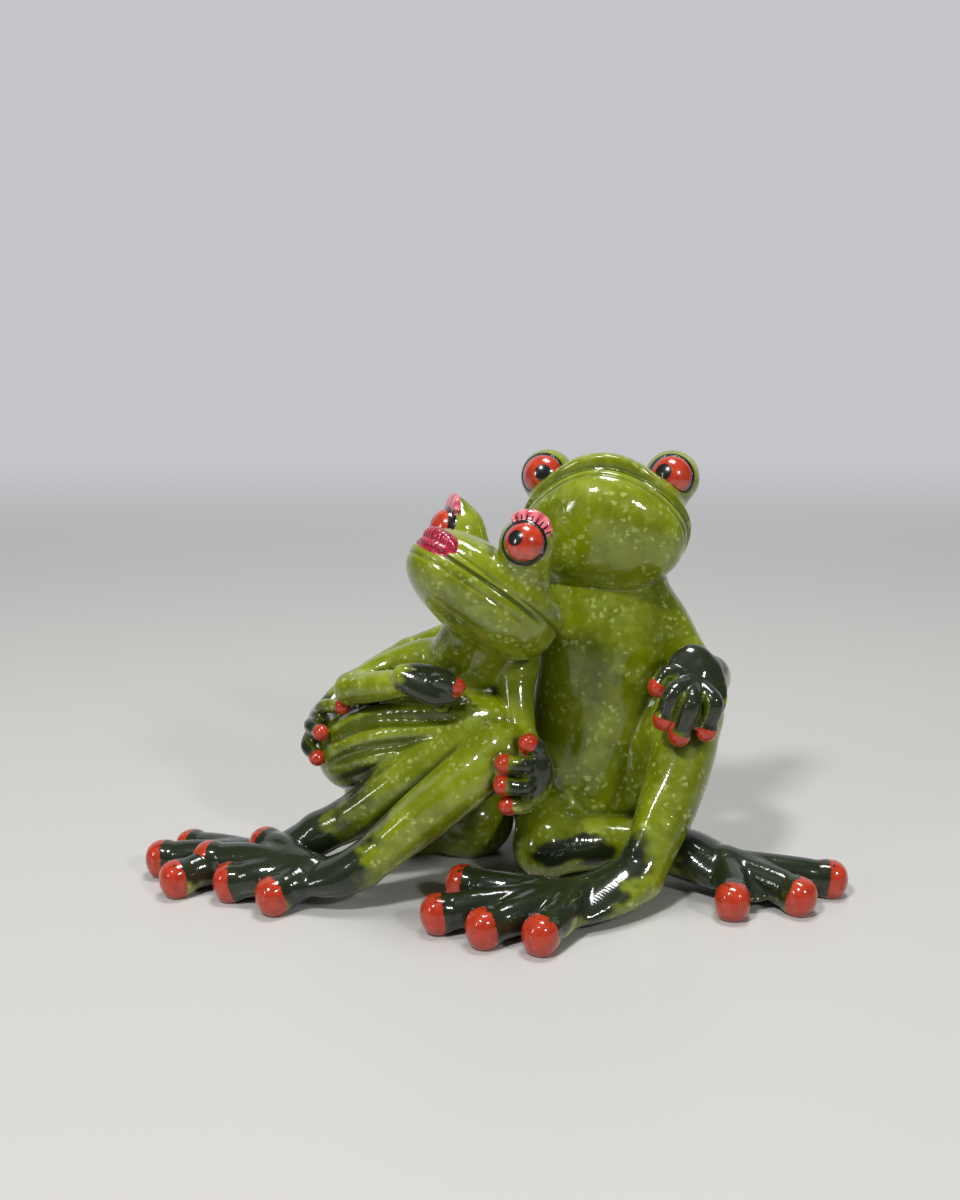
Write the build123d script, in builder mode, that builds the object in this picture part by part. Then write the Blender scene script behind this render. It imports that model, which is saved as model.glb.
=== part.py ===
"""A pair of cuddling tree frogs, cast in resin in sixteen pieces and glued at round tenons.

X runs to the right as the pair is seen from the front, Y away from the viewer and Z up. The origin lies on
the table, under the middle of the pair. All lengths are in millimetres.
"""

import os

from build123d import *

# Size of the pair: every place is a share of these three
pair_width = 188.0
pair_depth = 98.0
pair_height = 114.0

# Torsos
upright_torso_width = 40.0
upright_torso_depth = 38.0
leaning_torso_width = 34.0
leaning_torso_depth = 30.0

# Heads: width over the jaw corners, reach from there to the snout, throat and crown to the mouth
upright_head_width = 45.0
upright_head_reach = 21.0
upright_throat_depth = 13.0
leaning_head_width = 43.0
leaning_head_reach = 23.5
leaning_throat_depth = 16.0
crown_depth = 10.0
lip_half_width = 5.6
lip_half_length = 2.9
lip_half_height = 2.4

# Eyes: glossy balls in round bulges
upright_eye_radius = 6.0
leaning_eye_radius = 5.3
bulge_wall = 1.4
eye_proud = 2.6
eye_spacing = 17.0
eye_height = 12.0
eye_clearance = 0.1
lid_radius = 8.2
lid_thickness = 1.6

# Arms and legs: radii at the elbow and at the knee
upright_arm_radius = 4.8
leaning_arm_radius = 4.4
upright_leg_radius = 8.6
leaning_leg_radius = 7.4

# Hands and feet
palm_length = 13.0
palm_width = 12.0
palm_thickness = 7.0
finger_radius = 1.9
fingertip_radius = 2.5
toe_radius = 3.9
toe_tip_radius = 4.6
web_thickness = 4.0

# Ribs of the folded thigh that faces the viewer
rib_radius = 4.2
rib_proud = 0.9

# Glued tenons and the room for glue round them
tenon_radius = 2.4
glue_clearance = 0.15

# Torsos, a row a level: place of the middle, then shares of the torso's width and depth
upright_torso_shares = (
    (0.147, 0.255, 0.0, 0.78, 0.76),
    (0.147, 0.255, 0.045, 0.96, 0.96),
    (0.149, 0.25, 0.15, 1.04, 1.05),
    (0.157, 0.235, 0.29, 1.0, 1.0),
    (0.168, 0.214, 0.43, 0.87, 0.83),
    (0.176, 0.199, 0.55, 0.84, 0.7),
    (0.177, 0.189, 0.63, 0.79, 0.62),
    (0.176, 0.17, 0.74, 0.68, 0.52),
)
leaning_torso_shares = (
    (-0.114, 0.286, 0.0, 0.76, 0.8),
    (-0.114, 0.286, 0.07, 1.0, 1.03),
    (-0.104, 0.265, 0.175, 1.03, 1.05),
    (-0.077, 0.214, 0.316, 0.88, 0.88),
    (-0.045, 0.143, 0.439, 0.78, 0.75),
    (-0.024, 0.092, 0.526, 0.74, 0.66),
    (-0.013, 0.03, 0.62, 0.56, 0.52),
)

# Outline of a frog's head in the plane of its mouth, one side: shares of half the width and of the reach
head_outline_shares = (
    (0.0, 1.0),
    (0.4, 0.87),
    (0.78, 0.45),
    (1.0, -0.05),
    (0.86, -0.45),
    (0.48, -0.74),
    (0.0, -0.82),
)
# Levels of a head: height as a share of the crown or throat, then the size of the outline there
crown_level_shares = ((-0.02, 0.94), (0.12, 1.0), (0.36, 0.97), (0.66, 0.8), (0.9, 0.5), (1.0, 0.2))
throat_level_shares = ((0.1, 0.84), (-0.1, 0.9), (-0.4, 0.87), (-0.74, 0.66), (-0.94, 0.36), (-1.0, 0.14))

# Heads: place of the middle, then the directions of the crown and of the frog's right side
upright_head_shares = (0.162, 0.153, 0.83)
upright_crown_direction = (0.22, 0.92, 0.32)
upright_right_direction = (-1, 0.2, -0.03)
leaning_head_shares = (0.001, -0.041, 0.7)
leaning_crown_direction = (0.54, 0.3, 0.76)
leaning_right_direction = (-0.57, 0.79, 0.09)
# An eye bulge along the reach, and the foot of its stalk across, along and up, as shares of the bulge's own place
bulge_forward_share = 0.45
stalk_foot_shares = (0.68, 0.4, 0.1)
stalk_radius_shares = (1.0, 0.86)

# Limbs, a row a station: place, then the share of the limb's radius
upright_left_arm_shares = (
    (0.225, 0.194, 0.605, 1.15),
    (0.262, 0.19, 0.585, 1.2),
    (0.3, 0.18, 0.53, 1.05),
    (0.338, 0.15, 0.44, 1.0),
)
upright_left_forearm_shares = (
    (0.338, 0.15, 0.44, 1.0),
    (0.335, 0.09, 0.475, 0.95),
    (0.318, 0.03, 0.51, 0.85),
    (0.29, -0.02, 0.525, 0.7),
)
upright_right_arm_shares = (
    (0.12, 0.22, 0.6, 1.15),
    (0.06, 0.3, 0.58, 1.1),
    (-0.04, 0.4, 0.52, 1.0),
    (-0.125, 0.42, 0.46, 1.0),
)
upright_right_forearm_shares = (
    (-0.125, 0.42, 0.46, 1.0),
    (-0.175, 0.4, 0.42, 0.9),
    (-0.225, 0.34, 0.375, 0.8),
    (-0.25, 0.27, 0.34, 0.75),
)
leaning_left_arm_shares = (
    (0.0, 0.1, 0.53, 1.1),
    (0.04, 0.065, 0.52, 1.15),
    (0.052, 0.02, 0.45, 1.0),
    (0.052, -0.02, 0.38, 0.9),
    (0.055, -0.06, 0.33, 0.8),
)
leaning_right_arm_shares = (
    (-0.05, 0.09, 0.53, 1.1),
    (-0.095, 0.105, 0.52, 1.15),
    (-0.146, 0.112, 0.485, 1.0),
    (-0.2, 0.08, 0.44, 1.0),
)
leaning_right_forearm_shares = (
    (-0.2, 0.08, 0.44, 1.0),
    (-0.165, 0.02, 0.45, 0.95),
    (-0.13, -0.03, 0.465, 0.85),
    (-0.1, -0.05, 0.475, 0.7),
)
upright_left_thigh_shares = (
    (0.2, 0.22, 0.13, 1.25),
    (0.245, 0.14, 0.23, 1.3),
    (0.27, 0.08, 0.32, 1.2),
    (0.29, 0.035, 0.4, 1.05),
)
upright_left_shin_shares = (
    (0.29, 0.035, 0.4, 1.05),
    (0.276, -0.015, 0.31, 1.0),
    (0.252, -0.08, 0.215, 0.9),
    (0.222, -0.145, 0.13, 0.78),
    (0.2, -0.185, 0.075, 0.75),
)
upright_right_thigh_shares = (
    (0.1, 0.22, 0.11, 1.2),
    (0.09, 0.1, 0.115, 1.15),
    (0.078, -0.01, 0.088, 0.95),
)
upright_right_shin_shares = (
    (0.078, -0.01, 0.088, 0.95),
    (0.13, 0.01, 0.085, 0.85),
    (0.19, 0.02, 0.08, 0.75),
    (0.25, -0.01, 0.07, 0.7),
)
leaning_left_thigh_shares = (
    (-0.08, 0.18, 0.15, 1.25),
    (-0.05, 0.07, 0.24, 1.25),
    (-0.01, -0.045, 0.32, 1.1),
    (0.012, -0.11, 0.35, 1.0),
)
leaning_left_shin_shares = (
    (0.012, -0.11, 0.35, 1.0),
    (-0.035, -0.135, 0.29, 1.0),
    (-0.085, -0.155, 0.225, 0.95),
    (-0.135, -0.165, 0.155, 0.85),
    (-0.175, -0.175, 0.1, 0.75),
)
leaning_right_thigh_shares = (
    (-0.215, 0.155, 0.255, 1.0),
    (-0.185, 0.14, 0.285, 1.65),
    (-0.13, 0.1, 0.33, 1.8),
    (-0.06, 0.035, 0.375, 1.4),
    (0.0, -0.01, 0.39, 1.0),
)
leaning_right_shin_shares = (
    (0.0, -0.01, 0.39, 1.0),
    (-0.06, -0.02, 0.32, 1.05),
    (-0.12, -0.025, 0.25, 1.0),
    (-0.19, -0.02, 0.17, 0.85),
    (-0.245, -0.01, 0.12, 0.75),
)

# Sides of the folded thigh that its ribs face
leaning_rib_directions = ((-0.2, -0.9, -0.35), (-0.25, -0.95, 0.15), (-0.3, -0.65, 0.65), (-0.3, -0.1, 0.95))

# Hands: middle of the palm, direction of the back of the hand and of the fingers
upright_left_palm_shares = (0.285, -0.02, 0.515)
upright_left_palm_facing = (0.1, -0.75, 0.65)
upright_left_palm_pointing = (-0.15, -0.6, -0.8)
upright_right_palm_shares = (-0.256, 0.22, 0.33)
upright_right_palm_facing = (-0.95, 0.15, 0.2)
upright_right_palm_pointing = (0.1, -1, 0.1)
leaning_left_palm_shares = (0.056, -0.1, 0.3)
leaning_left_palm_facing = (0.6, -0.8, 0.1)
leaning_left_palm_pointing = (-0.8, -0.5, -0.1)
leaning_right_palm_shares = (-0.082, -0.065, 0.475)
leaning_right_palm_facing = (-0.1, -0.4, 0.9)
leaning_right_palm_pointing = (0.95, -0.25, 0.1)

# Fingers, a row a finger: knuckle and tip
upright_left_finger_shares = (
    ((0.245, -0.05, 0.52), (0.222, -0.045, 0.49)),
    ((0.25, -0.095, 0.48), (0.234, -0.088, 0.424)),
    ((0.268, -0.11, 0.46), (0.257, -0.1, 0.39)),
    ((0.298, -0.1, 0.46), (0.296, -0.095, 0.4)),
)
upright_right_finger_shares = (
    ((-0.245, 0.14, 0.39), (-0.214, 0.09, 0.405)),
    ((-0.262, 0.12, 0.35), (-0.245, 0.07, 0.345)),
    ((-0.268, 0.13, 0.3), (-0.252, 0.08, 0.28)),
)
leaning_left_finger_shares = (
    ((0.065, -0.13, 0.37), (0.052, -0.14, 0.385)),
    ((0.035, -0.16, 0.33), (0.012, -0.16, 0.33)),
    ((0.035, -0.165, 0.285), (0.012, -0.165, 0.275)),
    ((0.04, -0.155, 0.245), (0.02, -0.16, 0.232)),
)
leaning_right_finger_shares = (
    ((-0.065, -0.1, 0.49), (-0.048, -0.1, 0.49)),
    ((-0.06, -0.11, 0.465), (-0.044, -0.115, 0.452)),
    ((-0.07, -0.12, 0.45), (-0.055, -0.135, 0.425)),
)

# Feet, a row a station from ankle to ball: place, then half the width and half the height as shares of the leg
upright_left_instep_shares = (
    (0.2, -0.185, 0.075, 0.75, 0.75),
    (0.165, -0.215, 0.055, 1.0, 0.65),
    (0.115, -0.25, 0.036, 1.35, 0.48),
    (0.065, -0.28, 0.03, 1.3, 0.36),
)
upright_right_instep_shares = (
    (0.25, -0.01, 0.07, 0.7, 0.7),
    (0.285, -0.035, 0.055, 0.9, 0.62),
    (0.33, -0.08, 0.036, 1.25, 0.48),
    (0.37, -0.11, 0.03, 1.2, 0.36),
)
leaning_left_instep_shares = (
    (-0.175, -0.175, 0.1, 0.75, 0.75),
    (-0.21, -0.165, 0.07, 0.95, 0.7),
    (-0.25, -0.14, 0.055, 1.2, 0.55),
    (-0.285, -0.12, 0.055, 1.15, 0.42),
)
leaning_right_instep_shares = (
    (-0.245, -0.01, 0.12, 0.75, 0.75),
    (-0.285, -0.005, 0.075, 0.95, 0.65),
    (-0.33, 0.0, 0.04, 1.25, 0.48),
    (-0.37, 0.01, 0.03, 1.25, 0.36),
)
# Toes, a row a toe: middle and tip
upright_left_toe_shares = (
    ((0.09, -0.36, 0.04), (0.062, -0.435, 0.039)),
    ((0.04, -0.345, 0.04), (-0.01, -0.4, 0.039)),
    ((0.0, -0.305, 0.045), (-0.07, -0.325, 0.042)),
    ((0.01, -0.21, 0.045), (-0.038, -0.165, 0.05)),
)
upright_right_toe_shares = (
    ((0.33, -0.18, 0.04), (0.325, -0.245, 0.039)),
    ((0.39, -0.165, 0.04), (0.418, -0.215, 0.039)),
    ((0.425, -0.1, 0.04), (0.475, -0.105, 0.039)),
    ((0.395, -0.04, 0.036), (0.425, 0.0, 0.039)),
)
leaning_left_toe_shares = (
    ((-0.268, -0.178, 0.045), (-0.296, -0.215, 0.04)),
    ((-0.32, -0.145, 0.05), (-0.372, -0.13, 0.04)),
    ((-0.33, -0.09, 0.075), (-0.395, -0.045, 0.08)),
    ((-0.295, -0.05, 0.09), (-0.325, 0.03, 0.11)),
)
leaning_right_toe_shares = (
    ((-0.4, -0.055, 0.04), (-0.44, -0.105, 0.039)),
    ((-0.425, 0.015, 0.04), (-0.482, 0.03, 0.039)),
    ((-0.4, 0.08, 0.04), (-0.448, 0.17, 0.039)),
)

# A palm along the hand: place as a share of its length, then shares of its width and thickness
palm_shares = ((-0.5, 0.55, 0.85), (-0.15, 0.92, 1.0), (0.25, 1.0, 0.95), (0.5, 0.8, 0.7))
# Degrees in half a turn
half_turn = 180
# Where the loft of a limb starts round its path: a direction that no limb follows
seam_direction = (1, 2, 3)
# How far each lip lies from the line of the mouth, as a share of its height
lip_overlap_share = 0.62
# An upper lid: left corner, top, right corner and inner edge of its fan, as shares of its radius
lid_shares = ((-0.82, 0.3), (0.0, 1.05), (0.82, 0.3), (0.0, 0.5))
# The cone behind a lid: its tip and its radii, as shares of the lid's radius
lid_cone_share = 0.86
lid_cone_shares = (0.7, 0.22)
# How far a web goes from the middle of a toe to its tip, and how deep its edge is drawn in between two toes
web_reach_share = 0.45
web_notch_share = 0.2
# An elbow, knee or ankle is a little thicker than the limbs that it joins
knuckle_share = 1.03
# A digit from root to tip, as shares of its radius
digit_shares = (1.15, 1.05, 0.95)

# Tenons, from deep in the torso to the limb: neck, left and right shoulder, left and right hip
upright_peg_shares = (
    ((0.177, 0.185, 0.62), (0.165, 0.16, 0.8)),
    ((0.215, 0.195, 0.6), (0.28, 0.186, 0.56)),
    ((0.13, 0.215, 0.595), (0.04, 0.31, 0.57)),
    ((0.2, 0.22, 0.14), (0.255, 0.11, 0.28)),
    ((0.1, 0.22, 0.11), (0.083, 0.04, 0.105)),
)
leaning_peg_shares = (
    ((-0.028, 0.085, 0.52), (-0.01, -0.02, 0.66)),
    ((0.0, 0.1, 0.52), (0.045, 0.05, 0.5)),
    ((-0.06, 0.1, 0.52), (-0.12, 0.11, 0.5)),
    ((-0.08, 0.17, 0.17), (-0.04, 0.04, 0.26)),
    ((-0.13, 0.19, 0.24), (-0.175, 0.14, 0.28)),
)

# Directions that the right and the left eye look in
upright_gazes = ((-0.35, -0.92, 0.15), (-0.2, -0.95, 0.15))
leaning_gazes = ((-0.85, -0.5, 0.15), (-0.2, -0.95, 0.2))


def spot(shares):
    """The place in the pair that three shares of its width, depth and height give."""
    across, back, up = shares
    return Vector(across * pair_width, back * pair_depth, up * pair_height)


def directions(places):
    """The direction of a path at each of its places."""
    pairs = zip(places[:1] + places[:-1], places[1:] + places[-1:])
    return [(onward - back).normalized() for back, onward in pairs]


def oval(plane, half_width, half_height):
    """An oval section, drawn in two halves so that no lofted face closes on itself."""
    with BuildSketch(plane) as section:
        with BuildLine():
            for start in (0, half_turn):
                EllipticalCenterArc((0, 0), half_width, half_height, start_angle=start, arc_size=half_turn)
        make_face()
    return section.sketch


def tube(places, radii, ruled=False):
    """Lofts a tube through circles square to its path."""
    side = Vector(*seam_direction)
    sections = []
    for place, along, radius in zip(places, directions(places), radii):
        side = side - along * side.dot(along)
        sections.append(oval(Plane(place, x_dir=side, z_dir=along), radius, radius))
    loft(sections, ruled=ruled)


def limb(stations, radius, ruled=False):
    """A limb through its stations."""
    places = [spot(place) for *place, share in stations]
    tube(places, [share * radius for *place, share in stations], ruled)


def ribs(stations, radius, facings):
    """Long ribs on a limb, each on the side that it faces, that stand a little proud of the limb."""
    for facing in facings:
        outward = Vector(*facing).normalized()
        places = [spot(place) + outward * (share * radius - rib_radius + rib_proud) for *place, share in stations]
        tube(places, [rib_radius for place in places])


def paddle(places, half_sizes, facing):
    """Lofts a palm or an instep through flat ovals square to its path, broad side to the facing direction."""
    sections = []
    for place, along, (half_width, half_height) in zip(places, directions(places), half_sizes):
        plane = Plane(place, x_dir=facing.cross(along), z_dir=along)
        sections.append(oval(plane, half_width, half_height))
    loft(sections)


def ball(near, end, radius):
    """A ball at the end of a limb, its poles in line with the limb."""
    with Locations(Plane(spot(end), z_dir=spot(end) - spot(near))):
        Sphere(radius)


def folded_limb(upper, lower, radius):
    """An upper and a lower limb that meet in a round elbow or knee."""
    limb(upper, radius)
    limb(lower, radius)
    ball(lower[1][:3], lower[0][:3], lower[0][3] * radius * knuckle_share)


def digits(root, rows, radius, tip_radius):
    """Fingers or toes from one root, that taper and end in round tips."""
    for middle, tip in rows:
        stations = [(*place, share) for place, share in zip((root, middle, tip), digit_shares)]
        limb(stations, radius, ruled=True)
        ball(middle, tip, tip_radius)


def hand(palm, facing, pointing, fingers):
    """A palm with fingers that end in round pads."""
    forward = Vector(*pointing).normalized() * palm_length
    places = [spot(palm) + forward * along for along, width, thickness in palm_shares]
    half_sizes = [(wide * palm_width / 2, thick * palm_thickness / 2) for along, wide, thick in palm_shares]
    paddle(places, half_sizes, Vector(*facing))
    digits(palm, fingers, finger_radius, fingertip_radius)


def web(root, toes):
    """A thin web from the root of the toes well along them, its edge drawn in between each two toes."""
    start = spot(root)
    corners = [spot(middle) + (spot(tip) - spot(middle)) * web_reach_share for middle, tip in toes]
    plane = Plane(start, x_dir=corners[0] - start, z_dir=(corners[0] - start).cross(corners[-1] - start))
    local = [plane.to_local_coords(corner) for corner in corners]
    ends = [Vector(place.X, place.Y) for place in local]
    with BuildSketch(plane) as outline:
        with BuildLine():
            Line((0, 0), ends[0])
            for one, other in zip(ends[:-1], ends[1:]):
                between = (one + other) / 2
                notch = between - between.normalized() * (one - other).length * web_notch_share
                ThreePointArc(one, notch, other)
            Line(ends[-1], (0, 0))
        make_face()
    extrude(outline.sketch, amount=web_thickness / 2, both=True)


def foot(instep, toes, leg_radius):
    """A round ankle, an instep that widens to the ball of the foot, and webbed toes that spread from there."""
    ball(instep[1][:3], instep[0][:3], instep[0][3] * leg_radius * knuckle_share)
    places = [spot(station[:3]) for station in instep]
    half_sizes = [(width * leg_radius, height * leg_radius) for *place, width, height in instep]
    paddle(places, half_sizes, Vector(0, 0, 1))
    digits(instep[-2][:3], toes, toe_radius, toe_tip_radius)
    web(instep[-2][:3], toes)


def peg(root, head, radius, extra):
    """A round peg between two places, longer at its root end by the extra."""
    start, end = spot(root), spot(head)
    along = (end - start).normalized()
    start = start - along * extra
    with Locations(Plane(start, z_dir=along)):
        Cylinder(radius, (end - start).length, align=(Align.CENTER, Align.CENTER, Align.MIN))


def tenon(root, head):
    """The peg of a casting, that goes into its socket."""
    peg(root, head, tenon_radius, 0)


def sockets(*pegs):
    """Bores for pegs, with room for the glue."""
    with BuildPart(mode=Mode.PRIVATE) as bores:
        for root, head in pegs:
            peg(root, head, tenon_radius + glue_clearance, glue_clearance)
    add(bores.part, mode=Mode.SUBTRACT)


def trim(*neighbours):
    """Cuts a piece to the faces of the pieces that it is glued to."""
    for neighbour in neighbours:
        add(neighbour.part, mode=Mode.SUBTRACT)


def stand():
    """Cuts a piece flat where it stands on the table."""
    split(bisect_by=Plane.XY, keep=Keep.TOP)


def torso(levels, width, depth):
    """Lofts a torso through level ovals."""
    loft(
        [
            oval(Plane(spot(place)), width_share * width / 2, depth_share * depth / 2)
            for *place, width_share, depth_share in levels
        ]
    )


def head_outline(plane, width, reach):
    """The outline of a frog's head, mirrored about the line from neck to snout."""
    right_side = [(across * width / 2, along * reach) for across, along in head_outline_shares]
    left_side = [(-across, along) for across, along in right_side[-2:0:-1]]
    with BuildSketch(plane) as outline:
        with BuildLine():
            Spline(*right_side, *left_side, periodic=True)
        make_face()
    return outline.sketch


def bulge_middles(plane, reach):
    """The middles of the right and the left eye bulge."""
    forward = bulge_forward_share * reach
    return [plane.from_local_coords((side * eye_spacing, forward, eye_height)) for side in (1, -1)]


def stalk(plane, bulge, radius):
    """The short stalk that carries an eye bulge, from inside the head."""
    local = plane.to_local_coords(bulge)
    foot_shares = zip((local.X, local.Y, local.Z), stalk_foot_shares)
    foot_place = plane.from_local_coords(tuple(length * share for length, share in foot_shares))
    tube([foot_place, bulge], [radius * share for share in stalk_radius_shares])


def eye_middles(plane, reach, gazes):
    """The middles of the right and the left eyeball, moved out of their bulges towards what they look at."""
    return [
        bulge + Vector(*gaze).normalized() * eye_proud
        for bulge, gaze in zip(bulge_middles(plane, reach), gazes)
    ]


def head(plane, width, reach, throat_depth, eye_radius, gazes, lidded=False):
    """A head: the upper part overhangs the throat at the mouth, and two bulges hold the eyes."""
    for levels, depth in ((crown_level_shares, crown_depth), (throat_level_shares, throat_depth)):
        loft([head_outline(plane.offset(up * depth), size * width, size * reach) for up, size in levels])
    for bulge in bulge_middles(plane, reach):
        stalk(plane, bulge, eye_radius + bulge_wall)
        with Locations(bulge):
            Sphere(eye_radius + bulge_wall)
    if lidded:
        places = zip(bulge_middles(plane, reach), eye_middles(plane, reach, gazes), gazes)
        for bulge, middle, gaze in places:
            lid(plane, bulge, middle, gaze)
    with Locations(*eye_middles(plane, reach, gazes)):
        Sphere(eye_radius + eye_clearance, mode=Mode.SUBTRACT)


def lid(plane, bulge, middle, gaze):
    """An upper lid: a fan above the eyeball, with a cone behind it that leans on the bulge."""
    outward = Vector(*gaze).normalized()
    up = plane.z_dir - outward * plane.z_dir.dot(outward)
    level = Plane(middle - outward * lid_thickness / 2, x_dir=up.cross(outward), z_dir=outward)
    with BuildSketch(level) as fan:
        with BuildLine():
            corners = [(across * lid_radius, height * lid_radius) for across, height in lid_shares]
            ThreePointArc(*corners[:3])
            ThreePointArc(corners[2], corners[3], corners[0])
        make_face()
    extrude(fan.sketch, amount=lid_thickness)
    tip = level.from_local_coords((0, lid_radius * lid_cone_share, lid_thickness / 2))
    tube([bulge, tip], [radius * lid_radius for radius in lid_cone_shares])


def lips(plane, reach):
    """Two full lips, pursed at the snout."""
    unit = Sphere(1, mode=Mode.PRIVATE)
    lip = scale(unit, by=(lip_half_width, lip_half_length, lip_half_height), mode=Mode.PRIVATE)
    for side in (1, -1):
        place = plane.from_local_coords((0, reach, side * lip_half_height * lip_overlap_share))
        add(Plane(place, x_dir=plane.x_dir, z_dir=plane.z_dir).location * lip)


upright_neck_peg, upright_left_shoulder_peg, upright_right_shoulder_peg = upright_peg_shares[:3]
upright_left_hip_peg, upright_right_hip_peg = upright_peg_shares[3:]
upright_head_plane = Plane(
    spot(upright_head_shares), x_dir=upright_right_direction, z_dir=upright_crown_direction
)
leaning_neck_peg, leaning_left_shoulder_peg, leaning_right_shoulder_peg = leaning_peg_shares[:3]
leaning_left_hip_peg, leaning_right_hip_peg = leaning_peg_shares[3:]
leaning_head_plane = Plane(
    spot(leaning_head_shares), x_dir=leaning_right_direction, z_dir=leaning_crown_direction
)

# Upright frog: the head sits on the neck, the limbs on the torso
with BuildPart() as upright_head:
    head(
        upright_head_plane,
        upright_head_width,
        upright_head_reach,
        upright_throat_depth,
        upright_eye_radius,
        upright_gazes,
    )
    tenon(*upright_neck_peg)

with BuildPart() as upright_body:
    torso(upright_torso_shares, upright_torso_width, upright_torso_depth)

with BuildPart() as upright_torso:
    add(upright_body.part)
    sockets(*upright_peg_shares)
    trim(upright_head)

with BuildPart() as upright_left_leg:
    folded_limb(upright_left_thigh_shares, upright_left_shin_shares, upright_leg_radius)
    foot(upright_left_instep_shares, upright_left_toe_shares, upright_leg_radius)
    stand()
    trim(upright_body)
    tenon(*upright_left_hip_peg)

with BuildPart() as upright_right_leg:
    folded_limb(upright_right_thigh_shares, upright_right_shin_shares, upright_leg_radius)
    foot(upright_right_instep_shares, upright_right_toe_shares, upright_leg_radius)
    stand()
    trim(upright_body)
    tenon(*upright_right_hip_peg)
    trim(upright_left_leg)

with BuildPart() as upright_left_arm:
    folded_limb(upright_left_arm_shares, upright_left_forearm_shares, upright_arm_radius)
    hand(
        upright_left_palm_shares,
        upright_left_palm_facing,
        upright_left_palm_pointing,
        upright_left_finger_shares,
    )
    trim(upright_body)
    tenon(*upright_left_shoulder_peg)
    trim(upright_left_leg)

# Leaning frog: its head lies against the other's chest
with BuildPart() as leaning_head:
    head(
        leaning_head_plane,
        leaning_head_width,
        leaning_head_reach,
        leaning_throat_depth,
        leaning_eye_radius,
        leaning_gazes,
        lidded=True,
    )
    lips(leaning_head_plane, leaning_head_reach)
    trim(upright_body, upright_head)
    tenon(*leaning_neck_peg)

with BuildPart() as leaning_body:
    torso(leaning_torso_shares, leaning_torso_width, leaning_torso_depth)

with BuildPart() as leaning_torso:
    add(leaning_body.part)
    sockets(*leaning_peg_shares)
    trim(leaning_head, upright_body, upright_right_leg)

with BuildPart() as leaning_left_leg:
    folded_limb(leaning_left_thigh_shares, leaning_left_shin_shares, leaning_leg_radius)
    foot(leaning_left_instep_shares, leaning_left_toe_shares, leaning_leg_radius)
    stand()
    trim(leaning_body)
    tenon(*leaning_left_hip_peg)
    trim(upright_right_leg)

with BuildPart() as leaning_right_leg:
    folded_limb(leaning_right_thigh_shares, leaning_right_shin_shares, leaning_leg_radius)
    ribs(leaning_right_thigh_shares, leaning_leg_radius, leaning_rib_directions)
    foot(leaning_right_instep_shares, leaning_right_toe_shares, leaning_leg_radius)
    stand()
    trim(leaning_body)
    tenon(*leaning_right_hip_peg)
    trim(leaning_left_leg, upright_right_leg)

with BuildPart() as leaning_left_arm:
    limb(leaning_left_arm_shares, leaning_arm_radius)
    hand(
        leaning_left_palm_shares,
        leaning_left_palm_facing,
        leaning_left_palm_pointing,
        leaning_left_finger_shares,
    )
    trim(leaning_body)
    tenon(*leaning_left_shoulder_peg)
    trim(leaning_head, leaning_left_leg, leaning_right_leg, upright_body)

with BuildPart() as leaning_right_arm:
    folded_limb(leaning_right_arm_shares, leaning_right_forearm_shares, leaning_arm_radius)
    hand(
        leaning_right_palm_shares,
        leaning_right_palm_facing,
        leaning_right_palm_pointing,
        leaning_right_finger_shares,
    )
    trim(leaning_body)
    tenon(*leaning_right_shoulder_peg)
    trim(leaning_head, leaning_left_leg, leaning_right_leg)

# The upright frog's right arm goes round the other's back, so it is fitted last
with BuildPart() as upright_right_arm:
    folded_limb(upright_right_arm_shares, upright_right_forearm_shares, upright_arm_radius)
    hand(
        upright_right_palm_shares,
        upright_right_palm_facing,
        upright_right_palm_pointing,
        upright_right_finger_shares,
    )
    trim(upright_body)
    tenon(*upright_right_shoulder_peg)
    trim(leaning_body, leaning_right_leg, leaning_right_arm)

pieces = {
    "upright_torso": upright_torso,
    "upright_head": upright_head,
    "upright_left_arm": upright_left_arm,
    "upright_right_arm": upright_right_arm,
    "upright_left_leg": upright_left_leg,
    "upright_right_leg": upright_right_leg,
    "leaning_torso": leaning_torso,
    "leaning_head": leaning_head,
    "leaning_left_arm": leaning_left_arm,
    "leaning_right_arm": leaning_right_arm,
    "leaning_left_leg": leaning_left_leg,
    "leaning_right_leg": leaning_right_leg,
}

# Eyeballs
eye_sets = (
    ("upright", upright_head_plane, upright_head_reach, upright_gazes, upright_eye_radius),
    ("leaning", leaning_head_plane, leaning_head_reach, leaning_gazes, leaning_eye_radius),
)
for frog, plane, reach, gazes, radius in eye_sets:
    for side, middle in zip(("right", "left"), eye_middles(plane, reach, gazes)):
        with BuildPart() as eye:
            with Locations(middle):
                Sphere(radius)
        pieces[f"{frog}_{side}_eye"] = eye

os.makedirs("parts", exist_ok=True)
for name, piece in pieces.items():
    piece.part.label = name
    export_step(piece.part, f"parts/{name}.step")
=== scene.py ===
"""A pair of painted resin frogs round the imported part.

Each frog is one smooth field of distances, with its head and limbs blended into its torso. The field is cut
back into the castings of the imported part, and each casting is meshed and painted. Sizes are in millimetres,
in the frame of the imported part, until a mesh is made.
"""

import math

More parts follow.
